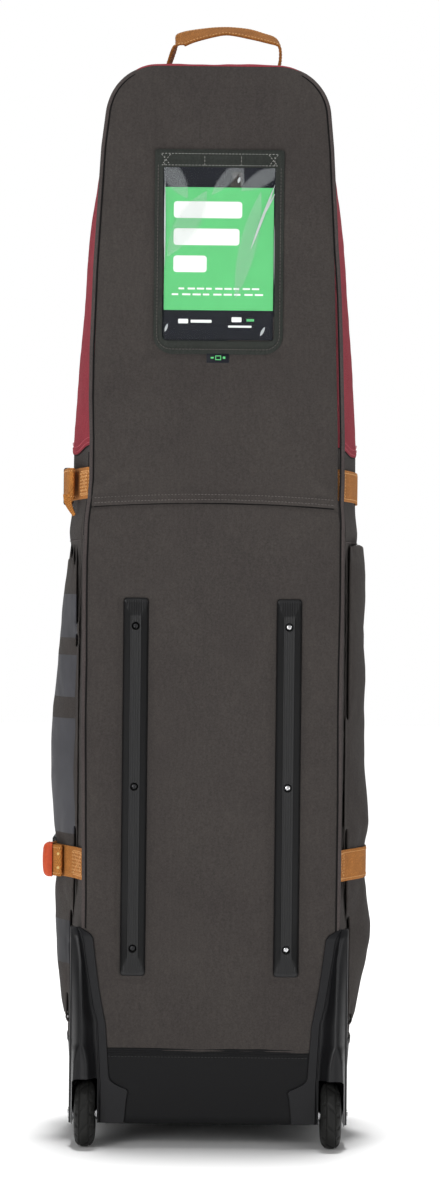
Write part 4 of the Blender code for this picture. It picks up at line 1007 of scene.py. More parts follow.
def hood_hems():
    """The turned hem where the burgundy meets the grey, with its stitches."""
    for side, name in ((-1, "left"), (1, "right")):
        y = np.linspace(BACK_Y + 0.004, SPLIT_Y - 0.006, 60)
        rows = []
        for up in HEM_ROWS:
            z = HOOD_Z + up - hem_drop(y)
            x = side * (side_half(y, z) + 0.0010)
            rows.append((np.stack([x, y, z], -1), (side, -0.3, 0)))
        thread = stitches(f"{name}_hood_hem_stitches", rows, "red_thread")
        finish_piece(thread, "case", "burgundy_cloth")
        z = HOOD_Z - 0.0004 - hem_drop(y)
        path = np.stack([side * (side_half(y, z) + 0.0002), y, z], -1)
        shadow = sweep(f"{name}_hood_hem_shadow", path, (side, 0, 0), circle(0.0009, 6), "painted_seam_shade")
        finish_piece(shadow, "case", "burgundy_cloth")


# ---------------------------------------------------------------- the lid

def lid_rows(low, high):
    """Heights up the lid, with how far its outline and its front have come in for the crown."""
    bend, front_bend = CROWN_Z - CROWN_R, CROWN_Z - FRONT_CROWN_R
    rows = list(np.arange(low, min(high, bend), 0.0045))
    if high > bend:
        rows += [bend + CROWN_R * math.sin(a) for a in np.linspace(0, math.pi / 2, 30)[:-1]]
        rows.append(CROWN_Z - 0.00002)
    else:
        rows.append(high)
    z = np.array(rows)
    up = np.clip((z - bend) / CROWN_R, 0, 1)
    inset = CROWN_R * (1 - np.sqrt(1 - up ** 2))
    up = np.clip((z - front_bend) / FRONT_CROWN_R, 0, 1)
    front_inset = FRONT_CROWN_R * (1 - np.sqrt(1 - up ** 2))
    return z, inset, front_inset


def lid_shell(name, low, high, materials, node, slot, front_swell=0.003):
    """The lid's cloth between two heights: side, corner, front, corner, side."""
    z, inset, front_inset = lid_rows(low, high)
    start = SPLIT_Y + ZIP_GAP
    grid = []
    for height, side_in, front_in in zip(z, inset, front_inset):
        front = max(float(front_line(height)) - front_in, start + 0.0006)
        depth = front - start
        r = min(FRONT_CORNER_R, depth * 0.92)
        wall_y = np.linspace(start, front - r, 22)
        wall_x = side_half(wall_y, height) - side_in
        angles = np.linspace(0, math.pi / 2, 16)[1:]
        corner_x = wall_x[-1] - r + r * np.cos(angles)
        corner_y = front - r + r * np.sin(angles)
        face_x = np.linspace(corner_x[-1], 0, 34)[1:]
        face_y = front + front_swell * min(1.0, depth / 0.05) * (1 - (face_x / corner_x[-1]) ** 2)
        x = np.concatenate([wall_x, corner_x, face_x])
        y = np.concatenate([wall_y, corner_y, face_y])
        lift = CROWN_SWELL * min(1.0, side_in / CROWN_R) ** 2 * (1 - (np.abs(x) / 0.135) ** 4)
        half = np.stack([x, y, height + np.maximum(lift, 0) * (1 - (y - start) / max(depth, 0.02))], -1)
        mirrored = half[-2::-1].copy()
        mirrored[:, 0] *= -1
        grid.append(np.concatenate([half, mirrored]))
    points = np.array(grid)
    normal = face_normals(points)
    if np.sum(normal * (points - np.array((0, 0, (low + high) / 2)))) < 0:
        normal = -normal
    amount = noise_at(points, 13.0, 60.0, (1.0, 1.0, 0.7)) * 0.0018 + noise_at(points, 45.0, 70.0) * 0.0005
    amount *= smoothstep(start, start + 0.02, points[..., 1])
    for height in (LOWER_STRAP_Z, UPPER_STRAP_Z):
        amount -= 0.0016 * np.exp(-((points[..., 2] - height) / 0.022) ** 4)
    points += normal * amount[..., None]
    piece = sheet(name, points, CLOTH, materials, (0, 0.05, (low + high) / 2))
    return finish_piece(piece, "lid", slot, node)


def lid():
    lid_shell("lid_lower_cloth", BOOT_TOP_Z + 0.0054, HOOD_Z - 0.0004, ["side_cloth", "lining"], "lid_panel",
              "charcoal_cloth")
    lid_shell("lid_hood_cloth", HOOD_Z + 0.0002, CROWN_Z, ["burgundy", "lining"], "lid_hood",
              "burgundy_cloth")
    rows = [lid_line(HOOD_Z + up, 0.0004) for up in HEM_ROWS]
    finish_piece(stitches("lid_hood_hem_stitches", rows, "red_thread"), "lid", "burgundy_cloth")


def lid_line(z, off, step=0.004, start=SPLIT_Y + 0.006):
    """A level line round the lid's outer face, and the face's normals along it."""
    front, r = float(front_line(z)), FRONT_CORNER_R
    wall_y = np.arange(start, front - r, step)
    wall_x = side_half(wall_y, z) + off
    angles = np.linspace(0, math.pi / 2, 14)
    corner_x = wall_x[-1] - off - r + (r + off) * np.cos(angles)
    corner_y = front - r + (r + off) * np.sin(angles)
    face_x = np.arange(corner_x[-1] - step, 0, -step)
    face_y = front + off + 0.003 * (1 - (face_x / corner_x[-1]) ** 2)
    x = np.concatenate([wall_x, corner_x, face_x])
    y = np.concatenate([wall_y, corner_y, face_y])
    right = np.stack([x, y, np.full_like(x, z)], -1)
    left = right[::-1].copy()
    left[:, 0] *= -1
    path = np.concatenate([right, left])
    tangent = np.gradient(path, axis=0)
    normals = np.stack([tangent[:, 1], -tangent[:, 0], np.zeros(len(path))], -1)
    normals /= np.linalg.norm(normals, axis=1, keepdims=True)
    return path, normals


# ---------------------------------------------------------------- the boot

BOOT_SIDE_BACK_Y = -0.0975  # where the boot's sides begin, in front of the wheel housings
RIM_LOW_Z = BOOT_TOP_Z - 0.0075  # the foot of the boot's ribbed rim


def boot_section(z):
    """A level half outline of the case at a height, from the back's middle round to the front's."""
    front, r = float(front_line(z)), FRONT_CORNER_R
    back = [(x, BACK_Y - 0.0010) for x in np.linspace(0, float(back_half(z)) - 0.002, 30)]
    side = [(float(side_half(y, z)), y) for y in np.linspace(BACK_Y + 0.001, front - r, 50)]
    bend_x = side[-1][0] - r
    corner = [(bend_x + r * math.cos(a), front - r + r * math.sin(a))
              for a in np.linspace(0, math.pi / 2, 16)[1:]]
    face = [(x, front + 0.003 * (1 - (x / bend_x) ** 2)) for x in np.linspace(bend_x, 0, 26)[1:]]
    return np.array(back), np.array(side + corner + face)


def boot_band(name, pick, material, low, high, off, thickness, count=26, ribs=0.0):
    """A band of the boot between two heights. pick takes the level outline from the parts of a section."""
    rows = []
    for z in np.linspace(low, high, count):
        line = pick(*boot_section(z))
        tangent = np.gradient(line, axis=0)
        normal = np.stack([tangent[:, 1], -tangent[:, 0]], -1)
        normal /= np.maximum(np.linalg.norm(normal, axis=1, keepdims=True), 1e-9)
        turn = min(max((z - BOOT_LOW_Z) / 0.012, 0), 1)
        tuck = 0.0045 * (1 - math.sqrt(1 - (1 - turn) ** 2))
        rib = ribs * (0.5 - 0.5 * math.cos(2 * math.pi * (z - low) / ((high - low) / 3)))
        line = line + normal * (off + rib - tuck)
        rows.append(np.concatenate([line, np.full((len(line), 1), z)], -1))
    points = np.array(rows)
    points[..., 1] += np.where(points[..., 1] < BACK_Y + 0.001, -0.0005 * noise_at(points, 20.0, 33.0), 0)
    return sheet(name, points, thickness, [material, "lining"], (0, 0, 0.07))


def boot_back_line(back, _around):
    keep = back[np.abs(back[:, 0]) < 0.1235]
    left = keep[::-1].copy()
    left[:, 0] *= -1
    return np.concatenate([left[:-1], keep])


def boot_front_line(_back, around):
    cut_off = np.interp(BOOT_SIDE_BACK_Y, around[:50, 1], around[:50, 0])
    keep = np.concatenate([[(cut_off, BOOT_SIDE_BACK_Y)], around[around[:, 1] > BOOT_SIDE_BACK_Y]])
    keep = resample(keep, 0.004, 110)
    left = keep[::-1].copy()
    left[:, 0] *= -1
    return np.concatenate([keep, left[1:]])


def boot():
    """The coated boot round the foot, with its ribbed rim and its floor."""
    back = boot_band("boot_back_cloth", boot_back_line, "boot", BOOT_LOW_Z, RIM_LOW_Z, 0.0006, 0.004)
    front = boot_band("boot_front", boot_front_line, "boot", BOOT_LOW_Z, RIM_LOW_Z, 0.0002, 0.004)
    back_rim = boot_band("boot_back_rim", boot_back_line, "boot", RIM_LOW_Z, BOOT_TOP_Z + 0.0005, 0.0012,
                         0.0045, 19, 0.0007)
    front_rim = boot_band("boot_front_rim", boot_front_line, "boot", RIM_LOW_Z, BOOT_TOP_Z - 0.0002, 0.0006,
                          0.0045, 19, 0.0007)
    outline = [(-0.124, BACK_Y + 0.004), (0.124, BACK_Y + 0.004), (0.124, -0.097)]
    _, around = boot_section(BOOT_LOW_Z + 0.001)
    right = [(x - 0.005, y) for x, y in around if y > -0.097 and x > 0.006]
    right = [(x, min(y, 0.128)) for x, y in right]
    outline += right + [(-x, y) for x, y in reversed(right)] + [(-0.124, -0.097)]
    bm = extruded([(x, y, BOOT_LOW_Z + 0.0002) for x, y in outline], (0, 0, 0.0040))
    floor_plate = from_bmesh("boot_floor", bm, "housing")
    shell = join("boot_shell", back, front, back_rim, front_rim, floor_plate)
    finish_piece(shell, "case", "coated_cloth", "boot")
    x = np.linspace(-0.121, 0.121, 120)
    rows = [([(a, BACK_Y - 0.0030, BOOT_TOP_Z - 0.0100) for a in x], (0, -1, 0))]
    finish_piece(stitches("boot_edge_stitches", rows, "black_thread"), "case", "coated_cloth")


# ---------------------------------------------------------------- camera, lights and floor

def stage():
    """The camera, the floor, the white world and four lights."""
    scene = bpy.context.scene
    scene.view_settings.view_transform = "Standard"
    camera = bpy.data.objects.new("camera", bpy.data.cameras.new("camera"))
    scene.collection.objects.link(camera)
    distance, height, image_height = 4.2, 0.6576, 1.44
    camera.data.sensor_width = 36.0
    camera.data.lens = 36.0 * distance / image_height
    camera.location = (0.0085, BACK_Y - distance, height)
    roll = Matrix.Rotation(math.radians(0.6), 3, "Z")
    camera.rotation_euler = (Matrix.Rotation(math.pi / 2, 3, "X") @ roll).to_euler()
    scene.camera = camera

    bm = bmesh.new()
    bmesh.ops.create_grid(bm, x_segments=1, y_segments=1, size=14.0)
    mesh = bpy.data.meshes.new("floor")
    bm.to_mesh(mesh)
    bm.free()
    mesh.materials.append(floor_material())
    floor = bpy.data.objects.new("floor", mesh)
    scene.collection.objects.link(floor)

    world = bpy.data.worlds.new("studio")
    scene.world = world
    world.use_nodes = True
    tree = world.node_tree
    background = tree.nodes["Background"]
    background.inputs["Color"].default_value = (1.0, 1.0, 1.0, 1.0)
    seen = tree.nodes.new("ShaderNodeLightPath")
    strength = tree.nodes.new("ShaderNodeMapRange")
    strength.inputs["To Min"].default_value = 0.19
    tree.links.new(seen.outputs["Is Camera Ray"], strength.inputs["Value"])
    tree.links.new(strength.outputs["Result"], background.inputs["Strength"])

    def light(name, kind, place, target, energy, **settings):
        data = bpy.data.lights.new(name, kind)
        data.energy = energy
        for key, value in settings.items():
            setattr(data, key, value)
        obj = bpy.data.objects.new(name, data)
        obj.location = place
        obj.rotation_euler = (Vector(target) - Vector(place)).to_track_quat("-Z", "Y").to_euler()
        scene.collection.objects.link(obj)

    light("overhead", "SUN", (0, 0.36, 5), (0, 0, 0), 3.1, angle=math.radians(11))
    light("key", "AREA", (-1.9, -3.4, 1.35), (0, -0.1, 0.7), 64, shape="RECTANGLE", size=1.2, size_y=2.0)
    light("fill", "AREA", (2.3, -3.0, 1.0), (0, -0.1, 0.6), 25, shape="RECTANGLE", size=1.2, size_y=2.0)
    light("behind", "AREA", (0.6, 3.6, 2.2), (0, 0.1, 0.6), 24, shape="RECTANGLE", size=1.6, size_y=2.0)


def floor_material():
    s = Shader("floor")
    s.set(Base_Color=(0.97, 0.97, 0.97, 1.0), Roughness=0.75, Specular_IOR_Level=0.15)
    return s.material


# ---------------------------------------------------------------- skid rails

def skid_rail(side):
    """A moulded rail: sloping sides and ends, a grooved ridge, and three screws in counterbores."""
    name = "left" if side < 0 else "right"
    half, ridge, corner, wall, height, slope = 0.0153, 0.0070, 0.0045, 0.0022, 0.0095, 0.022
    edge_u = [-1, -0.985, -0.93, -0.84, -0.74, -0.64, -0.56, -0.505, -0.475]
    u = np.concatenate([edge_u, np.linspace(-0.455, 0.455, 57), [-e for e in edge_u[::-1]]])
    ends = np.array([0, 0.0002, 0.0007, 0.0015, 0.0026, 0.0040, 0.0060, 0.0090, 0.013, 0.017, 0.020,
                     0.0215, 0.023])
    middle = np.arange(RAIL_LOW_Z + 0.026, RAIL_HIGH_Z - 0.025, 0.004)
    z = np.concatenate([RAIL_LOW_Z + ends, middle, (RAIL_HIGH_Z - ends)[::-1]])
    to_end = np.minimum(z - RAIL_LOW_Z, RAIL_HIGH_Z - z)
    row_half = half - corner + np.sqrt(np.maximum(corner ** 2 - np.maximum(corner - to_end, 0) ** 2, 0))
    x = row_half[:, None] * u
    zz = np.broadcast_to(z[:, None], x.shape)
    from_side = np.clip((half - np.abs(x)) / (half - ridge), 0, 1)
    from_end = np.clip(to_end / slope, 0, 1)[:, None]
    low_edge = np.minimum(row_half[:, None] - np.abs(x), to_end[:, None])
    lip = wall * np.sqrt(np.clip(low_edge / 0.0016, 0, 1))
    rise = lip + (height - wall) * np.minimum(from_side, from_end)
    on_ridge = (np.abs(x) < ridge - 0.0002) & (from_end > 0.98)
    rise -= np.where(on_ridge, 0.00050 * (0.5 - 0.5 * np.cos(2 * math.pi * x / 0.0028)), 0)
    on_slope = (from_end <= 0.98) & (from_end < from_side - 0.02) & (from_end > 0.12)
    rise -= np.where(on_slope, 0.00045 * (0.5 - 0.5 * np.cos(2 * math.pi * x / 0.0028)), 0)
    bead = np.exp(-((np.abs(x) - ridge + 0.0006) / 0.0005) ** 2) * (from_end > 0.9)
    rise += 0.00030 * bead
    rail_x = side * RAIL_X + x
    top = np.stack([rail_x, BACK_Y - 0.0002 - rise, zz], -1)
    foot = np.stack([rail_x, np.full_like(x, BACK_Y + 0.0008), zz], -1)
    verts = np.concatenate([top.reshape(-1, 3), foot.reshape(-1, 3)])
    rail = outward(mesh_piece(f"{name}_rail", verts, slab_faces(*x.shape), ["rail"], 28))
    for height_z in SCREW_Z:
        place = (side * RAIL_X, BACK_Y - 0.012, height_z)
        bore = turned("bore", [(0, 0), (0.0052, 0), (0.0052, 0.0078), (0, 0.0078)], place, "rail", 36, "Y")
        cut(rail, bore)
    smoothed(rail.data, 28)
    finish_piece(rail, "case", "rail_plastic", f"{name}_skid_rail")
    # the left screws are the same steel as the right, given painted shade
    screws = [screw(f"{name}_screw_{i}", (side * RAIL_X, BACK_Y - 0.0042, height_z), i,
                    "shaded_screw_steel" if side < 0 else "steel") for i, height_z in enumerate(SCREW_Z)]
    finish_piece(join(f"{name}_screws", *screws), "case", "steel", f"{name}_rail_screws")


def screw(name, place, index, material):
    """A pan-head screw with a cross recess, its head facing back."""
    head = [(0, -0.0026), (0.0020, -0.0025), (0.0033, -0.0020), (0.0041, -0.0011), (0.0043, -0.0003),
            (0.0043, 0), (0.0020, 0), (0.0020, 0.0090), (0, 0.0095)]
    piece = turned(name, head, place, material, 32, "Y")
    centre = Vector(place) + Vector((0, -0.0022, 0))
    for quarter in (0, 1):
        bm = bmesh.new()
        bmesh.ops.create_cube(bm, size=1.0)
        bmesh.ops.scale(bm, vec=(0.0048, 0.0030, 0.0009), verts=bm.verts)
        turn = Matrix.Rotation(math.radians(25 + 40 * index + 90 * quarter), 4, "Y")
        bmesh.ops.transform(bm, matrix=Matrix.Translation(centre) @ turn, verts=bm.verts)
        cut(piece, from_bmesh("cross", bm, material))
    smoothed(piece.data, 35)
    return piece


# ---------------------------------------------------------------- wheel housings and wheels

HOUSING_INNER = ((0.0295, 0.1000), (0.0600, 0.0972), (0.0670, 0.0954), (0.0700, 0.0975), (0.0730, 0.1050),
                 (0.0765, 0.1120), (0.0810, 0.1172), (0.0860, 0.1190), (0.1180, 0.1212), (0.1380, 0.1226),
                 (0.1480, 0.1232), (0.1580, 0.1255), (0.1920, 0.1318), (0.2250, 0.1362), (0.2510, 0.1394),
                 (0.2560, 0.1428), (0.2640, 0.1560))
HOUSING_GROOVE = ((0.0295, 0.1300), (0.0810, 0.1302), (0.1500, 0.1338), (0.1690, 0.1392), (0.2300, 0.1492),
                  (0.2460, 0.1512), (0.2560, 0.1540), (0.2640, 0.1590))
HOUSING_RISE = ((0.0295, 0.0205), (0.0800, 0.0205), (0.1000, 0.0200), (0.1250, 0.0192), (0.1600, 0.0162),
                (0.1950, 0.0122), (0.2300, 0.0070), (0.2480, 0.0036), (0.2560, 0.0018), (0.2640, 0.0004))
HOUSING_RIDGE = ((0.0295, 0.1535), (0.1250, 0.1532), (0.2250, 0.1535), (0.2640, 0.1590))
HOUSING_FACET = ((0.0295, 0.0076), (0.0850, 0.0074), (0.1040, 0.0066), (0.1180, 0.0036), (0.1250, 0.0006),
                 (0.1350, 0.0004), (0.2640, 0.0003))
HOUSING_WRAP = ((0.0295, -0.098), (0.130, -0.098), (0.195, -0.108), (0.235, -0.118), (0.264, -0.136))


def at(table, z):
    return float(np.interp(z, *zip(*table)))


def housing_outline(z):
    """A level of a housing: (distance out, depth) points from its inner edge over the fender to the wrap."""
    inner, groove, rise = at(HOUSING_INNER, z), at(HOUSING_GROOVE, z), at(HOUSING_RISE, z)
    ridge, facet, wrap = at(HOUSING_RIDGE, z), at(HOUSING_FACET, z), at(HOUSING_WRAP, z)
    face = BACK_Y - 0.0040 * smoothstep(0.267, 0.252, z) - 0.0006
    groove = max(groove, inner + 0.0015)
    points = [(inner, BACK_Y - 0.0002), (inner, face + 0.0014), (inner + 0.0004, face + 0.0005),
              (inner + 0.0013, face)]
    flat = groove - inner
    points += [(inner + flat * s, face) for s in (0.35, 0.6, 0.8)]
    points += [(groove - min(0.0016, flat * 0.1), face - 0.0001), (groove - 0.0003, face + 0.0008),
               (groove + 0.0006, face + 0.0009)]
    start, stop = groove + 0.0012, max(ridge - facet, groove + 0.002)
    for s in np.linspace(0, 1, 12):
        lift = rise * (0.5 - 0.5 * math.cos(math.pi * s)) ** 0.85
        points.append((start + (stop - start) * s, face - lift))
    dip = 0.0018 * min(1.0, facet / 0.004)
    points += [(ridge + facet * s, face - rise + dip * (1 - s * s))
               for s in (-0.94, -0.8, -0.4, 0.0, 0.4, 0.8, 0.94)]
    outer = max(float(side_half(BACK_Y + 0.02, z)) + 0.0040, 0.1668)
    outer = min(outer, 0.1668 + 0.05 * max(z - 0.09, 0))
    last = min(ridge + facet, outer - 0.004)
    for s in np.linspace(0, 1, 9):
        lift = rise * (1 - s ** 1.6)
        points.append((last + (outer - 0.0022 - last) * s, face - lift))
    points += [(outer - 0.0007, face + 0.0006), (outer, face + 0.0022)]
    y = np.linspace(BACK_Y + 0.004, wrap, 12)
    skin = np.maximum(side_half(y, z), side_half(BACK_Y + 0.012, z))
    blend = smoothstep(BACK_Y, BACK_Y + 0.03, y)
    out_x = outer + (np.maximum(skin + 0.0034, outer) - outer) * blend
    points += list(zip(out_x, y))
    points += [(out_x[-1] - 0.0030, wrap)]
    points += list(zip(out_x[::-1] - 0.0032, y[::-1]))
    points += [(min(outer - 0.0035, inner + flat + 0.004), BACK_Y - 0.0004)]
    return points


def wheel_housing(side):
    """A moulded housing with its arch cut out for the wheel, and the axle's bolt and spacers."""
    name = "left" if side < 0 else "right"
    levels = np.concatenate([np.arange(0.0295, 0.064, 0.0035), np.arange(0.0650, 0.0880, 0.0010),
                             np.arange(0.0890, 0.2440, 0.0030), np.arange(0.2450, 0.2641, 0.0010)])
    rings = [[(side * x, y, z) for x, y in housing_outline(z)] for z in levels]
    points = np.array(rings)
    faces = tube_faces(*points.shape[:2])
    housing = outward(mesh_piece(f"{name}_housing", points.reshape(-1, 3), faces, ["housing"], 30))
    low, high = sorted((side * 0.1252, side * 0.1664))
    block = bevelled_box("block", (low, BACK_Y - 0.0015, 0.0296), (high, -0.0985, 0.0915), "housing",
                         0.0008, 2)
    cut(housing, block, "UNION")
    low, high = sorted((side * (WHEEL_X - 0.0150), side * (WHEEL_X + 0.0150)))
    arch = bevelled_box("arch", (low, -0.30, -0.02), (high, WHEEL_Y, 0.0838), "housing", 0.0042, 4)
    cut(housing, arch)
    centre = (side * WHEEL_X, WHEEL_Y, WHEEL_R)
    disc = turned("disc", [(0, -0.0150), (0.0438, -0.0150), (0.0438, 0.0150), (0, 0.0150)], centre,
                  "housing", 64)
    cut(housing, disc)
    smoothed(housing.data, 26)
    finish_piece(housing, "case", "housing_plastic", f"{name}_wheel_housing")
    spacer = [(0.0042, 0), (0.0074, 0), (0.0078, 0.0004), (0.0078, 0.0012), (0.0060, 0.0018),
              (0.0060, 0.0024), (0.0042, 0.0024)]
    parts = []
    for place, start, turn in (("inner", -0.0149, 1), ("outer", 0.0149, -1)):
        profile = [(r, side * (start + turn * a)) for r, a in spacer]
        sides = 6 if place == "inner" else 40
        parts.append(turned(f"{name}_{place}_spacer", profile, centre, "steel", sides))
    shaft = [(0, -0.0188), (0.0032, -0.0188), (0.00395, -0.0180), (0.00395, 0.0192), (0.0070, 0.0192),
             (0.0070, 0.0199), (0.0055, 0.0208), (0.0026, 0.0212), (0.0022, 0.0202), (0, 0.0202)]
    bolt = [(r, side * a) for r, a in shaft]
    parts.append(turned(f"{name}_axle_bolt", bolt, centre, "steel", 40))
    finish_piece(join(f"{name}_axle_hardware", *parts), "case", "steel", f"{name}_axle")


def tread(angle, across):
    """How deep the tyre's pattern is cut at a place."""
    groove = 0.0016 * math.exp(-((abs(across) - 0.0052) / 0.0005) ** 2)
    wave = math.sin(angle * 16 + (6.0 if across > 0 else 0.0))
    block = 0.0017 * smoothstep(0.55, 0.85, wave) * smoothstep(0.0062, 0.0072, abs(across))
    block *= 1 - smoothstep(0.0098, 0.0108, abs(across))
    mark = 0.0013 * smoothstep(0.80, 0.95, math.sin(angle * 9 + across * 250)) * (abs(across) < 0.0042)
    return groove + block + mark


def wheel(side):
    """A tyre with its cut pattern, a spoked hub and two bearings."""
    name = "left" if side < 0 else "right"
    centre = np.array((side * WHEEL_X, WHEEL_Y, WHEEL_R))
    half, rim, steps = 0.0126, 0.0206, 160
    slopes = np.linspace(math.radians(8), math.radians(172), 45)
    crown = [(rim + 0.0012 + (WHEEL_R - rim - 0.0012) * math.sin(a) ** 0.75,
              half * math.copysign(abs(math.cos(a)) ** 0.72, math.cos(a))) for a in slopes]
    profile = [(rim, half * 0.90)] + crown + [(rim, -half * 0.90)]
    verts = []
    for k in range(steps):
        angle = 2 * math.pi * k / steps
        for radius, across in profile:
            cut_in = tread(angle, across) if radius > 0.034 else 0.0
            verts.append((side * across, (radius - cut_in) * math.sin(angle),
                          (radius - cut_in) * math.cos(angle)))
    verts = np.array(verts) + centre
    faces = loop_faces(steps, len(profile))
    tyre = outward(mesh_piece(f"{name}_tyre_ring", verts, faces, ["tyre"], 40))
    body = f"{name}_wheel"
    finish_piece(tyre, body, "tyre_urethane", f"{name}_tyre")
    hub = [(0.0113, -0.0118), (0.0150, -0.0112), (0.0158, -0.0090), (0.0178, -0.0088), (0.0186, -0.0108),
           (0.0203, -0.0106), (0.0203, 0.0106), (0.0186, 0.0108), (0.0178, 0.0088), (0.0158, 0.0090),
           (0.0150, 0.0112), (0.0113, 0.0118), (0.0113, 0.0040), (0.0060, 0.0040), (0.0060, -0.0040),
           (0.0113, -0.0040)]
    parts = [turned(f"{name}_hub_ring", hub, centre, "hub", 64)]
    for spoke in range(6):
        for face in (-1, 1):
            bm = bmesh.new()
            bmesh.ops.create_cube(bm, size=1.0)
            bmesh.ops.scale(bm, vec=(0.0030, 0.0018, 0.0044), verts=bm.verts)
            bmesh.ops.translate(bm, vec=(face * 0.0096, 0, 0.0168), verts=bm.verts)
            turn = Matrix.Rotation(math.radians(60 * spoke), 4, "X")
            bmesh.ops.transform(bm, matrix=Matrix.Translation(centre) @ turn, verts=bm.verts)
            parts.append(from_bmesh(f"{name}_spoke_{spoke}_{face + 1}", bm, "hub"))
    finish_piece(join(f"{name}_hub_casting", *parts), body, "hub_plastic", f"{name}_hub")
    for place, low in (("inner", -0.0115), ("outer", 0.0045)):
        section = [(0.0041, 0), (0.0062, 0), (0.0066, 0.0006), (0.0092, 0.0006), (0.0096, 0), (0.0110, 0),
                   (0.0110, 0.0070), (0.0096, 0.0070), (0.0092, 0.0064), (0.0066, 0.0064), (0.0062, 0.0070),
                   (0.0041, 0.0070)]
        ring = turned(f"{name}_{place}_bearing_ring", [(r, side * (low + a)) for r, a in section], centre,
                      "steel", 48)
        finish_piece(ring, body, "steel", f"{name}_{place}_bearing")


def front_foot():
    """A ribbed bar under the front of the base."""
    outline = [(0.0782, 0.0276), (0.0800, 0.0175), (0.0838, 0.0030), (0.0852, 0.0010), (0.0878, 0.0),
               (0.1122, 0.0), (0.1148, 0.0010), (0.1162, 0.0030), (0.1188, 0.0175), (0.1200, 0.0276)]
    x = np.concatenate([[-0.1150, -0.1142, -0.1120], np.linspace(-0.109, 0.109, 90),
                        [0.1120, 0.1142, 0.1150]])
    rings = []
    for a in x:
        end = 1 - 0.05 * smoothstep(0.1105, 0.1150, abs(a))
        rib = 0.0009 * smoothstep(0.75, 0.95, math.cos(2 * math.pi * a / 0.0185)) * (abs(a) < 0.107)
        rings.append([(a, FOOT_Y + (y - FOOT_Y) * (end - rib * 40 * (z > 0.004) * (z < 0.026) * 0.9),
                       max(z, 0) + (1 - end) * 0.03 * (z < 0.01)) for y, z in outline])
    points = np.array(rings)
    faces = tube_faces(*points.shape[:2])
    foot = outward(mesh_piece("front_foot_bar", points.reshape(-1, 3), faces, ["housing"], 30))
    finish_piece(foot, "case", "housing_plastic", "front_foot")


# ---------------------------------------------------------------- zips

def tooth_row(name, path, normals, across_from, material="zip", pitch=0.0026, size=(0.0016, 0.0021, 0.0010)):
    """Small coil teeth along a path, each reaching sideways from it."""
    path = resample(path, pitch)
    tangent, _, out = path_frames(path, spread(normals, len(path)))
    along, wide, tall = size
    verts, faces = [], []
    for k, centre in enumerate(path):
        start = len(verts)
        for a, b, c in ((-1, 0, -1), (1, 0, -1), (1, 1, -1), (-1, 1, -1), (-0.7, 0, 1), (0.7, 0, 1),
                        (0.6, 0.8, 0.8), (-0.6, 0.8, 0.8)):
            verts.append(centre + tangent[k] * a * along / 2 + across_from * np.array((0, 1.0, 0)) * b * wide
                         + out[k] * c * tall / 2)
        for face in ((0, 1, 2, 3), (4, 5, 6, 7), (0, 1, 5, 4), (1, 2, 6, 5), (2, 3, 7, 6), (3, 0, 4, 7)):
            faces.append([start + i for i in face])
    piece = mesh_piece(name, verts, faces, [material], 40)
    return outward(piece)


def zip_line(y, out, low=0.135):
    """The main zip's line at a depth: up the left side, over the crown and down the right to the hinge."""
    bend = CROWN_Z - CROWN_R
    corner_z = bend + CROWN_R * np.sin(np.linspace(0, math.pi / 2, 24))
    z = np.concatenate([np.arange(low, bend, 0.004), corner_z])
    inset = CROWN_R * (1 - np.sqrt(1 - np.clip((z - bend) / CROWN_R, 0, 1) ** 2))
    turn = np.clip((z - bend) / CROWN_R, 0, 1)
    x = side_half(y, z) - inset
    lift = turn ** 4 * crown_lift(np.abs(x), y, 0.135)
    outwards = np.stack([-np.sqrt(1 - turn ** 2), np.zeros_like(z), turn], -1)
    left = np.stack([-x, np.full_like(z, y), z + lift], -1) + outwards * out
    middle_x = np.linspace(left[-1, 0], -left[-1, 0], 62)[1:-1]
    middle = np.stack([middle_x, np.full_like(middle_x, y),
                       CROWN_Z + out + crown_lift(np.abs(middle_x), y, 0.135)],
                      -1)
    right = left[::-1].copy()
    right[:, 0] *= -1
    normals_right = outwards[::-1].copy()
    normals_right[:, 0] *= -1
    normals = np.concatenate([outwards, np.tile((0.0, 0.0, 1.0), (len(middle), 1)), normals_right])
    return np.concatenate([left, middle, right]), normals


# how far the main zip's tape, coil and stitches lie from where the two halves meet
TAPE_OFF, COIL_OFF, ZIP_STITCH_OFF = 0.0048, 0.0021, 0.0078


def main_zip():
    """Tape and coil on both sides of the opening, so that the two halves part when the lid opens."""
    for body, reach in (("case", 1), ("lid", -1)):
        tape_y, coil_y = SPLIT_Y - reach * TAPE_OFF, SPLIT_Y - reach * COIL_OFF
        path, normals = zip_line(tape_y, 0.0006)
        strip = oval(0.0046, 0.0007, 10)
        tape = sweep(f"{body}_zip_tape", path, normals, strip, "tape")
        path, normals = zip_line(coil_y, 0.0011)
        coil = tooth_row(f"{body}_zip_coil", path, normals, reach)
        path, normals = zip_line(coil_y - reach * 0.0004, 0.0002)
        cord = sweep(f"{body}_zip_cord", path, normals, circle(0.0009, 6), "zip")
        piece = join(f"{body}_zip_half", tape, coil, cord)
        finish_piece(piece, body, "zip_coil", *(["main_zip"] if body == "case" else []))
        rows = [zip_line(tape_y - reach * (ZIP_STITCH_OFF - TAPE_OFF), 0.0003, 0.14)]
        finish_piece(stitches(f"{body}_zip_stitches", rows, "grey_thread"), body, "charcoal_cloth")


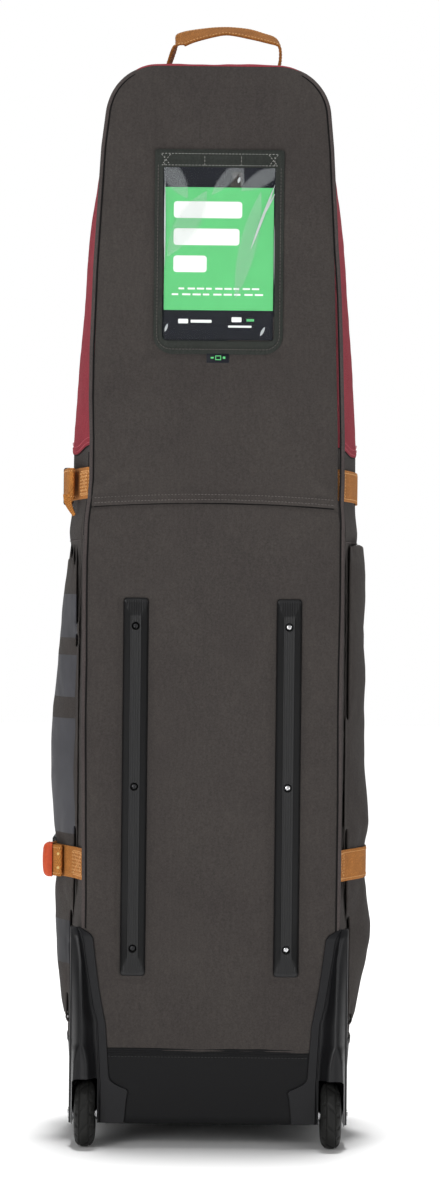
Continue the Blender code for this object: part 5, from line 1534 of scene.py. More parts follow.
def foot_zip():
    """The stretch of zip between the boot and the lid, round the front."""
    for body, z, direction in (("case", BOOT_TOP_Z + 0.0008, 1), ("lid", BOOT_TOP_Z + 0.0056, -1)):
        path, normals = lid_line(z, -0.0004)
        strip = oval(0.0016, 0.0008, 8)
        tape = sweep(f"{body}_foot_zip_tape", path, normals, strip, "tape")
        tooth = sweep(f"{body}_foot_zip_cord", path + np.array((0, 0, direction * 0.0012)), normals,
                      circle(0.0008, 6), "zip")
        piece = join(f"{body}_foot_zip_half", tape, tooth)
        finish_piece(piece, body, "zip_coil", *(["foot_zip"] if body == "case" else []))


def slider_body(name, centre, normal, along, material="slider", size=(0.0085, 0.0125, 0.0056)):
    """A zip slider: two joined plates with a bridge. along is the way it travels, normal the way it faces."""
    wide, long, tall = size
    normal, along = Vector(normal).normalized(), Vector(along).normalized()
    across = normal.cross(along)
    basis = Matrix((across, along, normal)).transposed().to_4x4()
    parts = []
    for low, high, taper in ((0.0, 0.0012, 0.72), (0.0026, 0.0038, 0.66)):
        outline = [(-0.5, 0.5), (-0.42, 0.02), (-0.5 * taper, -0.5), (0.5 * taper, -0.5), (0.42, 0.02),
                   (0.5, 0.5)]
        bm = extruded([(u * wide, v * long, low) for u, v in outline], (0, 0, high - low))
        bmesh.ops.bevel(bm, geom=bm.edges[:], offset=0.0004, segments=2, affect="EDGES")
        bmesh.ops.transform(bm, matrix=Matrix.Translation(Vector(centre)) @ basis, verts=bm.verts)
        parts.append(from_bmesh(f"{name}_plate_{len(parts)}", bm, material))
    bridge = [(0, -0.0042, 0.0036), (0, -0.0030, tall - 0.0004), (0, 0.0, tall), (0, 0.0030, tall - 0.0004),
              (0, 0.0042, 0.0036)]
    path = [tuple(Vector(centre) + basis.to_3x3() @ Vector(p)) for p in bridge]
    post = [tuple(Vector(centre) + basis.to_3x3() @ Vector(p))
            for p in ((0, 0.0030, 0.0008), (0, 0.0030, 0.0034))]
    parts.append(sweep(f"{name}_bridge", spline(path, 16), across, oval(0.0011, 0.0007, 8), material))
    parts.append(sweep(f"{name}_post", post, across, oval(0.0014, 0.0018, 8),
                       material))
    return join(name, *parts)


def pull_tab(name, top, down, out, length, material="pull"):
    """A moulded pull with raised ribs across it and a steel loop at its top."""
    down, out = Vector(down).normalized(), Vector(out).normalized()
    across = out.cross(down)
    basis = Matrix((across, down, out)).transposed().to_4x4()
    outline = [(-0.0026, 0.004), (0.0026, 0.004), (0.0040, 0.012), (0.0044, length - 0.004), (0.0034, length),
               (-0.0034, length), (-0.0044, length - 0.004), (-0.0040, 0.012)]
    bm = extruded([(u, v, -0.0010) for u, v in outline], (0, 0, 0.0020))
    bmesh.ops.bevel(bm, geom=bm.edges[:], offset=0.0005, segments=2, affect="EDGES")
    for step in range(5):
        made = bmesh.ops.create_cube(bm, size=1.0)["verts"]
        bmesh.ops.scale(bm, vec=(0.0058, 0.0010, 0.0030), verts=made)
        bmesh.ops.translate(bm, vec=(0, 0.014 + step * 0.0028, 0), verts=made)
    bmesh.ops.transform(bm, matrix=Matrix.Translation(Vector(top)) @ basis, verts=bm.verts)
    grip = from_bmesh(f"{name}_grip", bm, material)
    loop = [(-0.0018, 0.0052, 0), (-0.0026, 0.0025, 0), (-0.0018, 0.0003, 0), (0.0, -0.0004, 0),
            (0.0018, 0.0003, 0), (0.0026, 0.0025, 0), (0.0018, 0.0052, 0)]
    path = [tuple(Vector(top) + basis.to_3x3() @ Vector(p)) for p in loop]
    ring = sweep(f"{name}_loop", spline(path, 28), tuple(out), circle(0.0007, 8), "slider")
    return join(name, grip, ring)


def sliders():
    face = float(side_half(SPLIT_Y, 0.5)) + 0.0003
    for name, z, way in (("upper", 0.620, 1), ("lower", 0.550, -1)):
        piece = slider_body(f"{name}_zip_slider", (-face - 0.0012, SPLIT_Y, z), (-1, 0, 0), (0, 0, way))
        finish_piece(piece, f"{name}_slider", "slider_metal", f"{name}_slider")
        pull = pull_tab(f"{name}_zip_pull", (-face - 0.0080, SPLIT_Y, z + 0.0040), (0, 0, -1), (-1, 0, 0),
                        0.0395)
        finish_piece(pull, f"{name}_pull", "pull_tab", f"{name}_pull")


# ---------------------------------------------------------------- cloth that is blown up and settled

def puffed(obj, pins, limit, pressure=4.0, voxel=0.005, frames=20):
    """Fills a closed cushion with air by a cloth simulation. pins tells how firmly each point is sewn."""
    scene = bpy.context.scene
    modifier = obj.modifiers.new("remesh", "REMESH")
    modifier.mode, modifier.voxel_size, modifier.use_smooth_shade = "VOXEL", voxel, True
    apply_modifiers(obj)
    before = np.empty(len(obj.data.vertices) * 3)
    obj.data.vertices.foreach_get("co", before)
    before = before.reshape(-1, 3)
    group = obj.vertex_groups.new(name="pins")
    for index, weight in enumerate(pins(before)):
        if weight > 0.001:
            group.add([index], float(weight), "REPLACE")
    cloth = obj.modifiers.new("cloth", "CLOTH")
    settings = cloth.settings
    settings.quality, settings.mass = 6, 0.25
    settings.tension_stiffness = settings.compression_stiffness = 12
    settings.shear_stiffness, settings.bending_stiffness = 8, 0.8
    settings.use_pressure, settings.uniform_pressure_force = True, pressure
    settings.vertex_group_mass = "pins"
    settings.pin_stiffness = 1.0
    settings.effector_weights.gravity = 0.0
    cloth.collision_settings.use_collision = False
    for frame_number in range(1, frames + 1):
        scene.frame_set(frame_number)
    apply_modifiers(obj)
    scene.frame_set(1)
    after = np.empty(len(before) * 3)
    obj.data.vertices.foreach_get("co", after)
    moved = after.reshape(-1, 3) - before
    far = np.linalg.norm(moved, axis=1, keepdims=True)
    moved *= limit * np.tanh(far / limit) / np.maximum(far, 1e-9)
    obj.data.vertices.foreach_set("co", (before + moved).reshape(-1))
    modifier = obj.modifiers.new("finer", "SUBSURF")
    modifier.levels = modifier.render_levels = 1
    apply_modifiers(obj)
    obj.data.shade_smooth()
    return obj


# ---------------------------------------------------------------- pockets

# how far the side pockets stand out at their fullest, by height
LEFT_RISE = ((0.140, 0.0012), (0.166, 0.0060), (0.214, 0.0105), (0.238, 0.0120), (0.262, 0.0150),
             (0.290, 0.0150), (0.318, 0.0135), (0.358, 0.0140), (0.385, 0.0185), (0.430, 0.0215),
             (0.478, 0.0230), (0.526, 0.0205), (0.574, 0.0160), (0.622, 0.0120), (0.670, 0.0072),
             (0.694, 0.0048), (0.715, 0.0022), (0.728, 0.0002))
RIGHT_RISE = ((0.140, 0.0015), (0.166, 0.0065), (0.214, 0.0175), (0.238, 0.0210), (0.262, 0.0215),
              (0.290, 0.0180), (0.318, 0.0145), (0.358, 0.0140), (0.385, 0.0195), (0.430, 0.0170),
              (0.478, 0.0130), (0.526, 0.0125), (0.574, 0.0125), (0.622, 0.0100), (0.670, 0.0120),
              (0.700, 0.0125), (0.728, 0.0085))


def side_pocket_rise(side, y, z):
    """How far a side pocket stands out from the side wall."""
    back = pocket_back(z)
    u = np.clip((y - back) / (POCKET_FRONT_Y - back), 0, 1)
    rear = np.where(u < 0.55, smoothstep(0.0, 0.55, u) ** 0.8, 1.0)
    across = rear * np.where(u > 0.55, np.sin(math.pi * u) ** 0.55, np.sin(math.pi * 0.55) ** 0.55)
    bead = 0.0020 * np.exp(-((y - back - 0.0045) / 0.0028) ** 2) * smoothstep(0.500, 0.600, z)
    fade = 1 - 0.8 * smoothstep(0.700, 0.727, z)
    rise = np.interp(z, *zip(*(LEFT_RISE if side < 0 else RIGHT_RISE)))
    return (0.0010 + bead + 0.0012 * smoothstep(0.1, 0.5, u)) * fade + rise * across


def cushion(name, outer, inner, materials):
    """A closed solid between two grids of points with the same outline."""
    verts = np.concatenate([outer.reshape(-1, 3), inner.reshape(-1, 3)])
    return outward(mesh_piece(name, verts, slab_faces(*outer.shape[:2]), materials, 50))


def side_pocket(side):
    """A gusseted pocket on the side, pulled in by the lower strap, with its zip down the front edge."""
    name = "left" if side < 0 else "right"
    top = POCKET_HIGH_Z + 0.013
    z = np.linspace(POCKET_LOW_Z, top, 150)
    share = (1 - np.cos(np.linspace(0, math.pi, 44))) / 2
    zz = np.broadcast_to(z[:, None], (150, 44))
    back = pocket_back(z)[:, None]
    yy = back + (POCKET_FRONT_Y - back) * share
    base = side_half(yy, zz) + 0.0004
    rise = side_pocket_rise(side, yy, zz)
    seed = np.stack([yy, zz, np.full_like(yy, side * 7.0)], -1)
    held = np.exp(-((zz - LOWER_STRAP_Z) / 0.026) ** 4)
    crumple = noise_at(seed, 24.0, 3.0, (1.0, 0.7, 1.0)) * 0.0022 + noise_at(seed, 60.0, 6.0) * 0.0007
    near_strap = np.exp(-((np.abs(zz - LOWER_STRAP_Z) - 0.030) / 0.022) ** 2)
    pleats = near_strap * 0.0012 * np.sin(yy / 0.0052 + 2.5 * noise_at(seed, 20.0, 9.0))
    inside = np.minimum(1, np.minimum(share, 1 - share)[None, :] * 8) * np.minimum(1, rise / 0.005)
    rise = rise + (crumple * (1 - held) + pleats * (1 - held)) * inside
    outer = np.stack([side * (base + np.maximum(rise, 0.0009)), yy, zz], -1)
    inner = np.stack([side * base, yy, zz], -1)
    pocket = cushion(f"{name}_side_pouch", outer, inner, ["banded" if side < 0 else "side_cloth"])

    def pins(points):
        depth = side * points[:, 0] - side_half(points[:, 1], points[:, 2])
        low = 1 - smoothstep(0.0020, 0.0045, depth)
        band = np.exp(-((points[:, 2] - LOWER_STRAP_Z) / 0.024) ** 6)
        rim = np.maximum(smoothstep(0.010, 0.016, points[:, 1]),
                         1 - smoothstep(0.004, 0.010, points[:, 1] - pocket_back(points[:, 2])))
        ends = np.maximum(smoothstep(top - 0.010, top - 0.004, points[:, 2]),
                          1 - smoothstep(0.144, 0.150, points[:, 2]))
        return np.clip(low + band + rim + ends, 0, 1)

    puffed(pocket, pins, 0.0045, 2.0, 0.0045, 12)
    finish_piece(pocket, "case", "charcoal_cloth", f"{name}_side_pocket")
    pocket_trim(side, name)


def pocket_trim(side, name):
    """The pocket's zip with its slider and pull, and its piping."""
    z = np.linspace(0.150, 0.705, 160)
    y = POCKET_FRONT_Y - 0.004
    rise = side_pocket_rise(side, np.full_like(z, y), z)
    path = np.stack([side * (side_half(np.full_like(z, y), z) + rise + 0.0006), np.full_like(z, y), z], -1)
    normals = np.tile((side * 0.86, 0.5, 0.0), (len(z), 1))
    strip = oval(0.0048, 0.0008, 10)
    tape = sweep(f"{name}_pocket_tape", path, normals, strip, "tape")
    over = path + np.array((side * 0.0008, 0.0004, 0))
    cord = sweep(f"{name}_pocket_coil", over, normals, oval(0.0017, 0.0008, 8), "zip")
    teeth = tooth_row(f"{name}_pocket_teeth", over + np.array((side * 0.0006, -0.0008, 0)), normals, 0.8)
    piece = join(f"{name}_pocket_zip", tape, cord, teeth)
    finish_piece(piece, "case", "zip_coil")
    front = np.full_like(z, POCKET_FRONT_Y + 0.0014)
    edge = np.stack([side * (side_half(front, z) + 0.0010), front, z], -1)
    pipes = [sweep(f"{name}_pocket_edge_0", edge, (side, 0, 0), circle(0.0014, 8), "piping")]
    for i, height in enumerate((POCKET_LOW_Z - 0.0012, POCKET_HIGH_Z + 0.0138)):
        depths = np.linspace(float(pocket_back(height)), POCKET_FRONT_Y, 40)
        off, radius = ((0.0012, 0.0014), (0.0002, 0.0008))[i]
        row = np.stack([side * (side_half(depths, height) + off), depths, np.full_like(depths, height)], -1)
        pipes.append(sweep(f"{name}_pocket_end_{i}", row, (side, 0, 0), circle(radius, 8), "piping"))
    finish_piece(join(f"{name}_pocket_piping", *pipes), "case", "piping")
    face = float(side_half(y, 0.6)) + float(side_pocket_rise(side, y, 0.6)) + 0.0006
    runner = slider_body(f"{name}_pocket_zip_slider", (side * (face + 0.0008), y + 0.0006, 0.630),
                         (side, 0.35, 0), (0, 0, 1), size=(0.0085, 0.0115, 0.0050))
    tab = pull_tab(f"{name}_pocket_zip_tab", (side * (face + 0.0052), y + 0.0016, 0.6300), (0, 0, -1),
                   (side, 0.35, 0), 0.0480)
    finish_piece(join(f"{name}_pocket_zip_runner", runner, tab), f"{name}_pocket_slider", "slider_metal",
                 f"{name}_pocket_slider")


def lid_face_y(x, z):
    """The lid's front under the pocket."""
    bend = side_half(front_line(z) - FRONT_CORNER_R, z) - FRONT_CORNER_R
    return front_line(z) + 0.003 * (1 - np.minimum(np.abs(x) / bend, 1.0) ** 2) + 0.0006


def front_pocket_lift(x, z):
    u = 1 - np.abs(x) / FRONT_POCKET_HALF
    v = (z - FRONT_POCKET_LOW_Z) / (FRONT_POCKET_HIGH_Z - FRONT_POCKET_LOW_Z)
    across, up = np.minimum(1.0, u * 7), np.minimum(1.0, np.minimum(v * 9, (1 - v) * 7))
    fullness = np.maximum(across, 0) ** 0.5 * np.maximum(up, 0) ** 0.5
    return POCKET_RIM + (FRONT_POCKET_RISE - 0.008 * v) * fullness


def front_pocket():
    """The pocket on the lid's front, with its zip, stitches, piping and slider."""
    share = np.sin(np.linspace(-1, 1, 80) * math.pi / 2)
    tall = FRONT_POCKET_HIGH_Z - FRONT_POCKET_LOW_Z
    z = FRONT_POCKET_LOW_Z + tall * (1 - np.cos(np.linspace(0, math.pi, 96))) / 2
    xx, zz = np.meshgrid(share * FRONT_POCKET_HALF, z)
    base = lid_face_y(xx, zz)
    lift = front_pocket_lift(xx, zz)
    seed = np.stack([xx, zz, np.zeros_like(xx)], -1)
    soft = np.minimum(1, lift / 0.015)
    crumple = (noise_at(seed, 20.0, 81.0) * 0.0020 + noise_at(seed, 52.0, 83.0) * 0.0007) * soft
    outer = np.stack([xx, base + np.maximum(lift * 0.95 + crumple, 0.0015), zz], -1)
    inner = np.stack([xx, base, zz], -1)
    pocket = cushion("front_pouch", outer, inner, ["side_cloth"])

    def pins(points):
        depth = points[:, 1] - lid_face_y(points[:, 0], points[:, 2])
        edge = np.minimum(FRONT_POCKET_HALF - np.abs(points[:, 0]),
                          np.minimum(points[:, 2] - FRONT_POCKET_LOW_Z, FRONT_POCKET_HIGH_Z - points[:, 2]))
        track = np.exp(-((points[:, 2] - FRONT_ZIP_Z) / 0.010) ** 4)
        return np.clip((1 - smoothstep(0.003, 0.006, depth)) + (1 - smoothstep(0.003, 0.008, edge))
                       + track, 0, 1)

    puffed(pocket, pins, 0.004, 2.0, 0.0045, 12)
    finish_piece(pocket, "lid", "charcoal_cloth", "front_pocket")
    x = np.linspace(-0.100, 0.100, 100)

    def line(z, out):
        return np.stack([x, lid_face_y(x, z) + front_pocket_lift(x, z) * 0.95 + out, np.full_like(x, z)], -1)

    strip = oval(0.0050, 0.0008, 10)
    tape = sweep("front_pocket_tape", line(FRONT_ZIP_Z, 0.0014), (0, 1, 0), strip, "tape")
    cord = sweep("front_pocket_coil", line(FRONT_ZIP_Z, 0.0022), (0, 1, 0), oval(0.0018, 0.0009, 8), "zip")
    finish_piece(join("front_pocket_zip", tape, cord), "lid", "zip_coil")
    rows = [(line(z, 0.0016), (0, 1, 0)) for z in FRONT_STITCH_Z]
    finish_piece(stitches("front_pocket_stitches", rows, "grey_thread"), "lid", "charcoal_cloth")
    corners = [(-1, 0), (-1, 1), (1, 1), (1, 0), (-1, 0)]
    loop = []
    for (ax, az), (bx, bz) in zip(corners, corners[1:]):
        for s in np.linspace(0, 1, 40, endpoint=False):
            loop.append(((ax + (bx - ax) * s) * (FRONT_POCKET_HALF + 0.001),
                         FRONT_POCKET_LOW_Z - 0.001 + (az + (bz - az) * s) * (FRONT_POCKET_HIGH_Z + 0.002
                                                                              - FRONT_POCKET_LOW_Z)))
    loop.append(loop[0])
    path = [(a, float(lid_face_y(a, b)) + 0.0008, b) for a, b in loop]
    finish_piece(sweep("front_pocket_piping", path, (0, 1, 0), circle(0.0016, 8), "piping"), "lid", "piping")
    spot = (FRONT_SLIDER_X, FRONT_ZIP_Z)
    top = float(lid_face_y(*spot) + front_pocket_lift(*spot) * 0.95) + 0.0024
    runner = slider_body("front_zip_slider", (FRONT_SLIDER_X, top, FRONT_ZIP_Z), (0, 1, 0), (1, 0, 0),
                         size=(0.0085, 0.0115, 0.0048))
    tab = pull_tab("front_zip_tab", (FRONT_SLIDER_X, top + 0.0042, FRONT_ZIP_Z), (0, 0, -1), (0, 1, 0), 0.018)
    finish_piece(join("front_zip_runner", runner, tab), "front_pocket_slider", "slider_metal",
                 "front_pocket_slider")


# ---------------------------------------------------------------- straps

def strap_lift(side, y, z):
    """How far a strap on the side lies off the side wall."""
    over = smoothstep(POCKET_BACK_Y - 0.010, POCKET_BACK_Y + 0.002, y)
    over = over * (1 - smoothstep(POCKET_FRONT_Y - 0.002, POCKET_FRONT_Y + 0.012, y))
    pocket = side_pocket_rise(side, y, z) * over if z < POCKET_HIGH_Z else 0.0
    return pocket + 0.0014


def side_strap_path(side, z, depths, lift=0.0):
    y = np.asarray(depths, float)
    return np.stack([side * (side_half(y, z) + strap_lift(side, y, z) + lift), y, np.full_like(y, z)], -1)


def across_normals(path):
    """Normals of a level path that look away from the case's middle."""
    tangent = np.gradient(path, axis=0)
    normal = np.stack([tangent[:, 1], -tangent[:, 0], np.zeros(len(path))], -1)
    normal /= np.maximum(np.linalg.norm(normal, axis=1, keepdims=True), 1e-9)
    outwards = np.sum(normal * (path * (1, 1, 0)), axis=1, keepdims=True)
    return np.where(outwards < 0, -normal, normal)


def edge_stitches(name, path, normals):
    """A row of thread along each edge of a strap."""
    _, across, out = path_frames(path, normals)
    rows = [(path + across * sign * (STRAP_WIDTH / 2 - 0.0035) + out * STRAP_THICK * 0.5, out)
            for sign in (-1, 1)]
    return stitches(name, rows, "tan_thread", *STRAP_STITCH)


def box_stitch(name, path, normals, start, length, fill=0):
    """A sewn box with a cross in it, on a strap."""
    _, across, out = path_frames(path, normals)
    steps = np.concatenate([[0], np.cumsum(np.linalg.norm(np.diff(path, axis=0), axis=1))])
    half = STRAP_WIDTH / 2 - 0.0045

    def spot(along, side_off):
        place = np.array([np.interp(along, steps, path[:, i]) for i in range(3)])
        sideways = np.array([np.interp(along, steps, across[:, i]) for i in range(3)])
        normal = np.array([np.interp(along, steps, out[:, i]) for i in range(3)])
        return place + sideways * side_off + normal * STRAP_THICK * 0.52, normal

    a, b = start, start + length
    lines = [((a, -half), (b, -half)), ((a, half), (b, half)), ((a, -half), (a, half)),
             ((b, -half), (b, half)), ((a, -half), (b, half)), ((a, half), (b, -half))]
    lines += [((s, -half), (s, half)) for s in np.linspace(a, b, fill + 2)[1:-1]] if fill else []
    rows = []
    for (s0, t0), (s1, t1) in lines:
        spots = [spot(s0 + (s1 - s0) * k / 20, t0 + (t1 - t0) * k / 20) for k in range(21)]
        rows.append((np.array([p for p, _ in spots]), np.array([n for _, n in spots])))
    return stitches(name, rows, "tan_thread", 0.0026, 0.0014, 0.00040)


def side_straps():
    """The four strap lengths sewn to the case's sides, with the lid's straps and the buckles."""
    for z, place in ((LOWER_STRAP_Z, "lower"), (UPPER_STRAP_Z, "upper")):
        depths = np.concatenate([[-0.1530, -0.1500], np.linspace(-0.146, SPLIT_Y - 0.003, 70)])
        path = side_strap_path(1, z, depths)
        path[0] = (float(back_half(z)) - 0.0010, BACK_Y + 0.0016, z)
        path = spline(path[::2], 120)
        normals = across_normals(path)
        web = strap(f"{place}_right_webbing", path, normals)
        sewn = box_stitch(f"{place}_right_box", path, normals, 0.004, 0.026)
        edge = edge_stitches(f"{place}_right_rows", path, normals)
        finish_piece(join(f"{place}_right_band", web, sewn, edge), "case", "tan_webbing",
                     f"{place}_right_strap")

        depths = np.concatenate([[-0.1530, -0.1500], np.linspace(-0.146, 0.0045, 60)])
        path = side_strap_path(-1, z, depths)
        path[0] = (-float(back_half(z)) + 0.0010, BACK_Y + 0.0016, z)
        path = spline(path[::2], 110)
        normals = across_normals(path)
        web = strap(f"{place}_left_webbing", path, normals)
        sewn = box_stitch(f"{place}_left_box", path, normals, 0.004, 0.042, fill=7)
        finish_piece(join(f"{place}_left_band", web, sewn), "case", "tan_webbing", f"{place}_left_strap")
        left_return(place, z)
        lid_strap(place, z)
        buckle(place, z)


# the left straps' free ends, turned back on themselves: depth, then how far off the side
RETURN_LINES = {
    "upper": ((-0.010, 0.0036), (-0.035, 0.0050), (-0.065, 0.0064), (-0.088, 0.0068), (-0.1025, 0.0074),
              (-0.1075, 0.0102), (-0.1025, 0.0131), (-0.0880, 0.0132), (-0.0650, 0.0120), (-0.0420, 0.0104),
              (-0.0220, 0.0090)),
    "lower": ((-0.010, 0.0026), (-0.036, 0.0030), (-0.060, 0.0034), (-0.076, 0.0034), (-0.0860, 0.0042),
              (-0.0905, 0.0072), (-0.0860, 0.0104), (-0.0740, 0.0108), (-0.0600, 0.0102), (-0.0450, 0.0094),
              (-0.0280, 0.0086)),
}


def left_return(place, z):
    """The strap's free end, turned back on the left side and standing off it."""
    path = spline([(-(float(side_half(y, z)) + float(strap_lift(-1, y, z)) + lift), y, z)
                   for y, lift in RETURN_LINES[place]], 120)
    web, across, out = ribbon(f"{place}_return_webbing", path, (0, 0, 1), STRAP_WIDTH, 0.0021)
    pieces = [web]
    rows = [(path + across * sign * 0.0155 + out * face * 0.0011, out * face) for sign in (-1, 1)
            for face in (-1, 1)]
    pieces.append(stitches(f"{place}_return_rows", rows, "tan_thread", *STRAP_STITCH))
    rear = path[int(np.argmin(path[:, 1]))]
    if place == "lower":
        for shift in (-0.0085, 0.0085):
            centre = rear + np.array((-0.0030, 0.0004, shift))
            pieces.append(turned("dot", [(0, -0.0008), (0.0016, -0.0008), (0.0018, 0), (0.0012, 0.0006),
                                         (0, 0.0009)],
                                 centre, "brass", 16, "Y"))
    else:
        drop = [rear + np.array(step) for step in ((-0.0060, 0.0030, -0.0130), (-0.0056, 0.0034, -0.0220),
                                                   (-0.0026, 0.0045, -0.0300), (0.0022, 0.0060, -0.0385))]
        tail, _, _ = ribbon("upper_return_tail", spline(drop, 24), (1, -0.25, 0.35),
                            np.linspace(0.0120, 0.0040, 24), 0.0022)
        pieces.append(tail)
    finish_piece(join(f"{place}_strap_return", *pieces), "case", "tan_webbing")
    if place == "lower":
        orange_tab(z)


def orange_tab(z):
    """A ribbed moulded grip on the end of the lower strap."""
    base = float(side_half(-0.06, z)) + float(strap_lift(-1, -0.06, z)) + 0.0070
    steps = np.linspace(0, 1, 61)
    rows = []
    for share in np.linspace(0, 1, 26):
        height = z - 0.0205 + 0.041 * share
        ends = (abs(share - 0.5) * 2) ** 10
        bow = 0.0016 * (1 - ((share - 0.5) * 2) ** 2)
        ring = []
        for s in steps:
            angle = math.pi * (s - 0.5)
            rib = 0.0013 * (0.5 - 0.5 * math.cos(2 * math.pi * s * 7))
            deep = 0.0150 * math.sin(angle) * (1 - 0.25 * ends)
            wide = (0.0088 + rib) * math.cos(angle) ** 0.6 * (1 - 0.35 * ends)
            ring.append((-(base + bow + wide), -0.0655 + deep, height))
        ring += [(-(base - 0.0006), -0.0510, height), (-(base - 0.0006), -0.0800, height)]
        rows.append(ring)
    points = np.array(rows)
    faces = tube_faces(*points.shape[:2])
    grip = outward(mesh_piece("strap_grip", points.reshape(-1, 3), faces, ["orange"], 40))
    finish_piece(grip, "case", "orange_tab", "strap_pull_tab")


def lid_strap(place, z):
    """The strap across the lid, from the buckle round the front to the hinge side."""
    off = 0.0030
    path, _ = lid_line(z, off, 0.004, SPLIT_Y + 0.012)
    path = path[::-1]
    front_extra = max(float(front_line(z - 0.019)), float(front_line(z + 0.019))) - float(front_line(z))
    path[:, 1] += front_extra * smoothstep(0.10, 0.14, path[:, 1])
    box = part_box(f"{place}_buckle_plug")
    middle = (box[0][0] + box[1][0]) / 2
    keep = path[path[:, 1] > 0.098]
    right = path[(path[:, 0] > 0) & (path[:, 1] <= 0.098)]
    start = [(middle, 0.0755, z), (middle + 0.002, 0.084, z)]
    whole = np.concatenate([start, keep, right])
    path = resample(whole, 0.004)
    smooth = path.copy()
    for _ in range(6):
        smooth[1:-1] = (smooth[:-2] + smooth[1:-1] * 2 + smooth[2:]) / 4
    normals = across_normals(smooth)
    web = strap(f"{place}_lid_webbing", smooth, normals)
    edge = edge_stitches(f"{place}_lid_rows", smooth[6:], normals[6:])
    sewn = box_stitch(f"{place}_lid_box", smooth, normals, 0.012, 0.022)
    finish_piece(join(f"{place}_lid_band", web, edge, sewn), "lid", "tan_webbing", f"{place}_lid_strap")
    depths = np.linspace(SPLIT_Y - 0.006, SPLIT_Y + 0.0165, 24)
    x = side_half(depths, z) + 0.0020 + 0.0022 * np.sin(np.linspace(0, math.pi, 24))
    bridge_path = np.stack([x, depths, np.full_like(x, z)], -1)
    bridge = strap(f"{place}_hinge_webbing", bridge_path, across_normals(bridge_path), thick=0.0018)
    labelled(bridge, "tan_webbing")
    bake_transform(bridge)


def buckle(place, z):
    """A side-release buckle: the socket on the case's strap, the plug on the lid's."""
    (low_x, low_y, low_z), (high_x, high_y, high_z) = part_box(f"{place}_buckle_socket")
    socket = bevelled_box(f"{place}_socket_shell", (low_x, low_y, low_z), (high_x, high_y, high_z),
                          "buckle", 0.0034, 4)
    hollow = bevelled_box("hollow", (low_x + 0.0016, low_y + 0.014, low_z + 0.0040),
                          (high_x - 0.0016, high_y + 0.02, high_z - 0.0040), "buckle", 0.0010, 2)
    cut(socket, hollow)
    for end in (-1, 1):
        near, far = sorted((z + end * 0.0150, z + end * 0.030))
        window = bevelled_box("window", (low_x + 0.0022, low_y + 0.019, near),
                              (high_x - 0.0022, low_y + 0.035, far), "buckle", 0.0015, 2)
        cut(socket, window)
    panel = bevelled_box("panel", (low_x - 0.01, low_y + 0.010, z - 0.011),
                         (low_x + 0.0006, low_y + 0.034, z + 0.011), "buckle", 0.0015, 2)
    cut(socket, panel)
    slot = bevelled_box("slot", (low_x - 0.01, low_y + 0.0030, z - 0.0175), (low_x + 0.0055, low_y + 0.0062,
                                                                           z + 0.0175), "buckle", 0.0006, 2)
    cut(socket, slot)
    smoothed(socket.data, 40)
    finish_piece(socket, "case", "buckle_plastic", f"{place}_buckle_socket")

    (low_x, _, low_z), (high_x, high_y, high_z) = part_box(f"{place}_buckle_plug")
    low_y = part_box(f"{place}_buckle_socket")[1][1] + 0.0004
    plug = bevelled_box(f"{place}_plug_shell", (low_x, low_y, low_z), (high_x, high_y, high_z), "buckle",
                        0.0034, 4)
    middle = (low_x + high_x) / 2
    for shift, half, reach in ((-0.0125, 0.0032, 0.026), (0.0, 0.0042, 0.024), (0.0125, 0.0032, 0.026)):
        tongue = bevelled_box("tongue", (middle - 0.0021, low_y - reach, z + shift - half),
                              (middle + 0.0021, low_y + 0.006, z + shift + half), "buckle", 0.0008, 2)
        cut(plug, tongue, "UNION")
    slot = bevelled_box("slot", (low_x - 0.01, high_y - 0.0132, z - 0.0195), (high_x + 0.01, high_y - 0.0085,
                                                                            z + 0.0195), "buckle", 0.0009, 2)
    cut(plug, slot)
    smoothed(plug.data, 40)
    finish_piece(plug, "lid", "buckle_plastic", f"{place}_buckle_plug")


def hinge_cloth():
    """The cloth that joins the two halves down the right side."""
    z = np.linspace(0.136, 0.800, 170)
    y = np.linspace(SPLIT_Y - 0.0062, SPLIT_Y + 0.0062, 9)
    yy, zz = np.meshgrid(y, z)
    bulge = 0.0012 * np.cos((yy - SPLIT_Y) / 0.0062 * math.pi / 2)
    points = np.stack([side_half(yy, zz) - 0.0016 + bulge, yy, zz], -1)
    piece = sheet("hinge_fabric", points, 0.0012, ["side_cloth", "lining"])
    labelled(piece, "charcoal_cloth", "hinge_gusset")
    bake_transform(piece)


# ---------------------------------------------------------------- the address sleeve

def rounded_loop(half, low, high, r_low, r_high, side_count=24, corner_count=10):
    """Points round a rectangle with rounded corners, from the left foot, anticlockwise seen from the back."""
    corners = ((half - r_low, low + r_low, r_low, -90), (half - r_high, high - r_high, r_high, 0),
               (-half + r_high, high - r_high, r_high, 90), (-half + r_low, low + r_low, r_low, 180))
    points = []
    for k, (cx, cz, r, start) in enumerate(corners):
        turn = [math.radians(start + 90 * s) for s in np.linspace(0, 1, corner_count)]
        arc = [(cx + r * math.cos(a), cz + r * math.sin(a)) for a in turn]
        nx, nz, nr, nstart = corners[(k + 1) % 4]
        first = (nx + nr * math.cos(math.radians(nstart)), nz + nr * math.sin(math.radians(nstart)))
        last = arc[-1]
        run = [(last[0] + (first[0] - last[0]) * s, last[1] + (first[1] - last[1]) * s)
               for s in np.linspace(0, 1, side_count + 1)[1:-1]]
        points += arc + run
    return np.array(points)


def ring_frame(name, outer, inner, profile, material):
    """A closed frame between two loops. profile: (share from outer to inner, depth off the back)."""
    rings = []
    for share, depth in profile:
        loop = outer + (inner - outer) * share
        rings.append(np.stack([loop[:, 0], np.full(len(loop), BACK_Y - depth), loop[:, 1]], -1))
    points = np.stack(rings, 1)
    faces = loop_faces(*points.shape[:2])
    return outward(mesh_piece(name, points.reshape(-1, 3), faces, [material], 40))


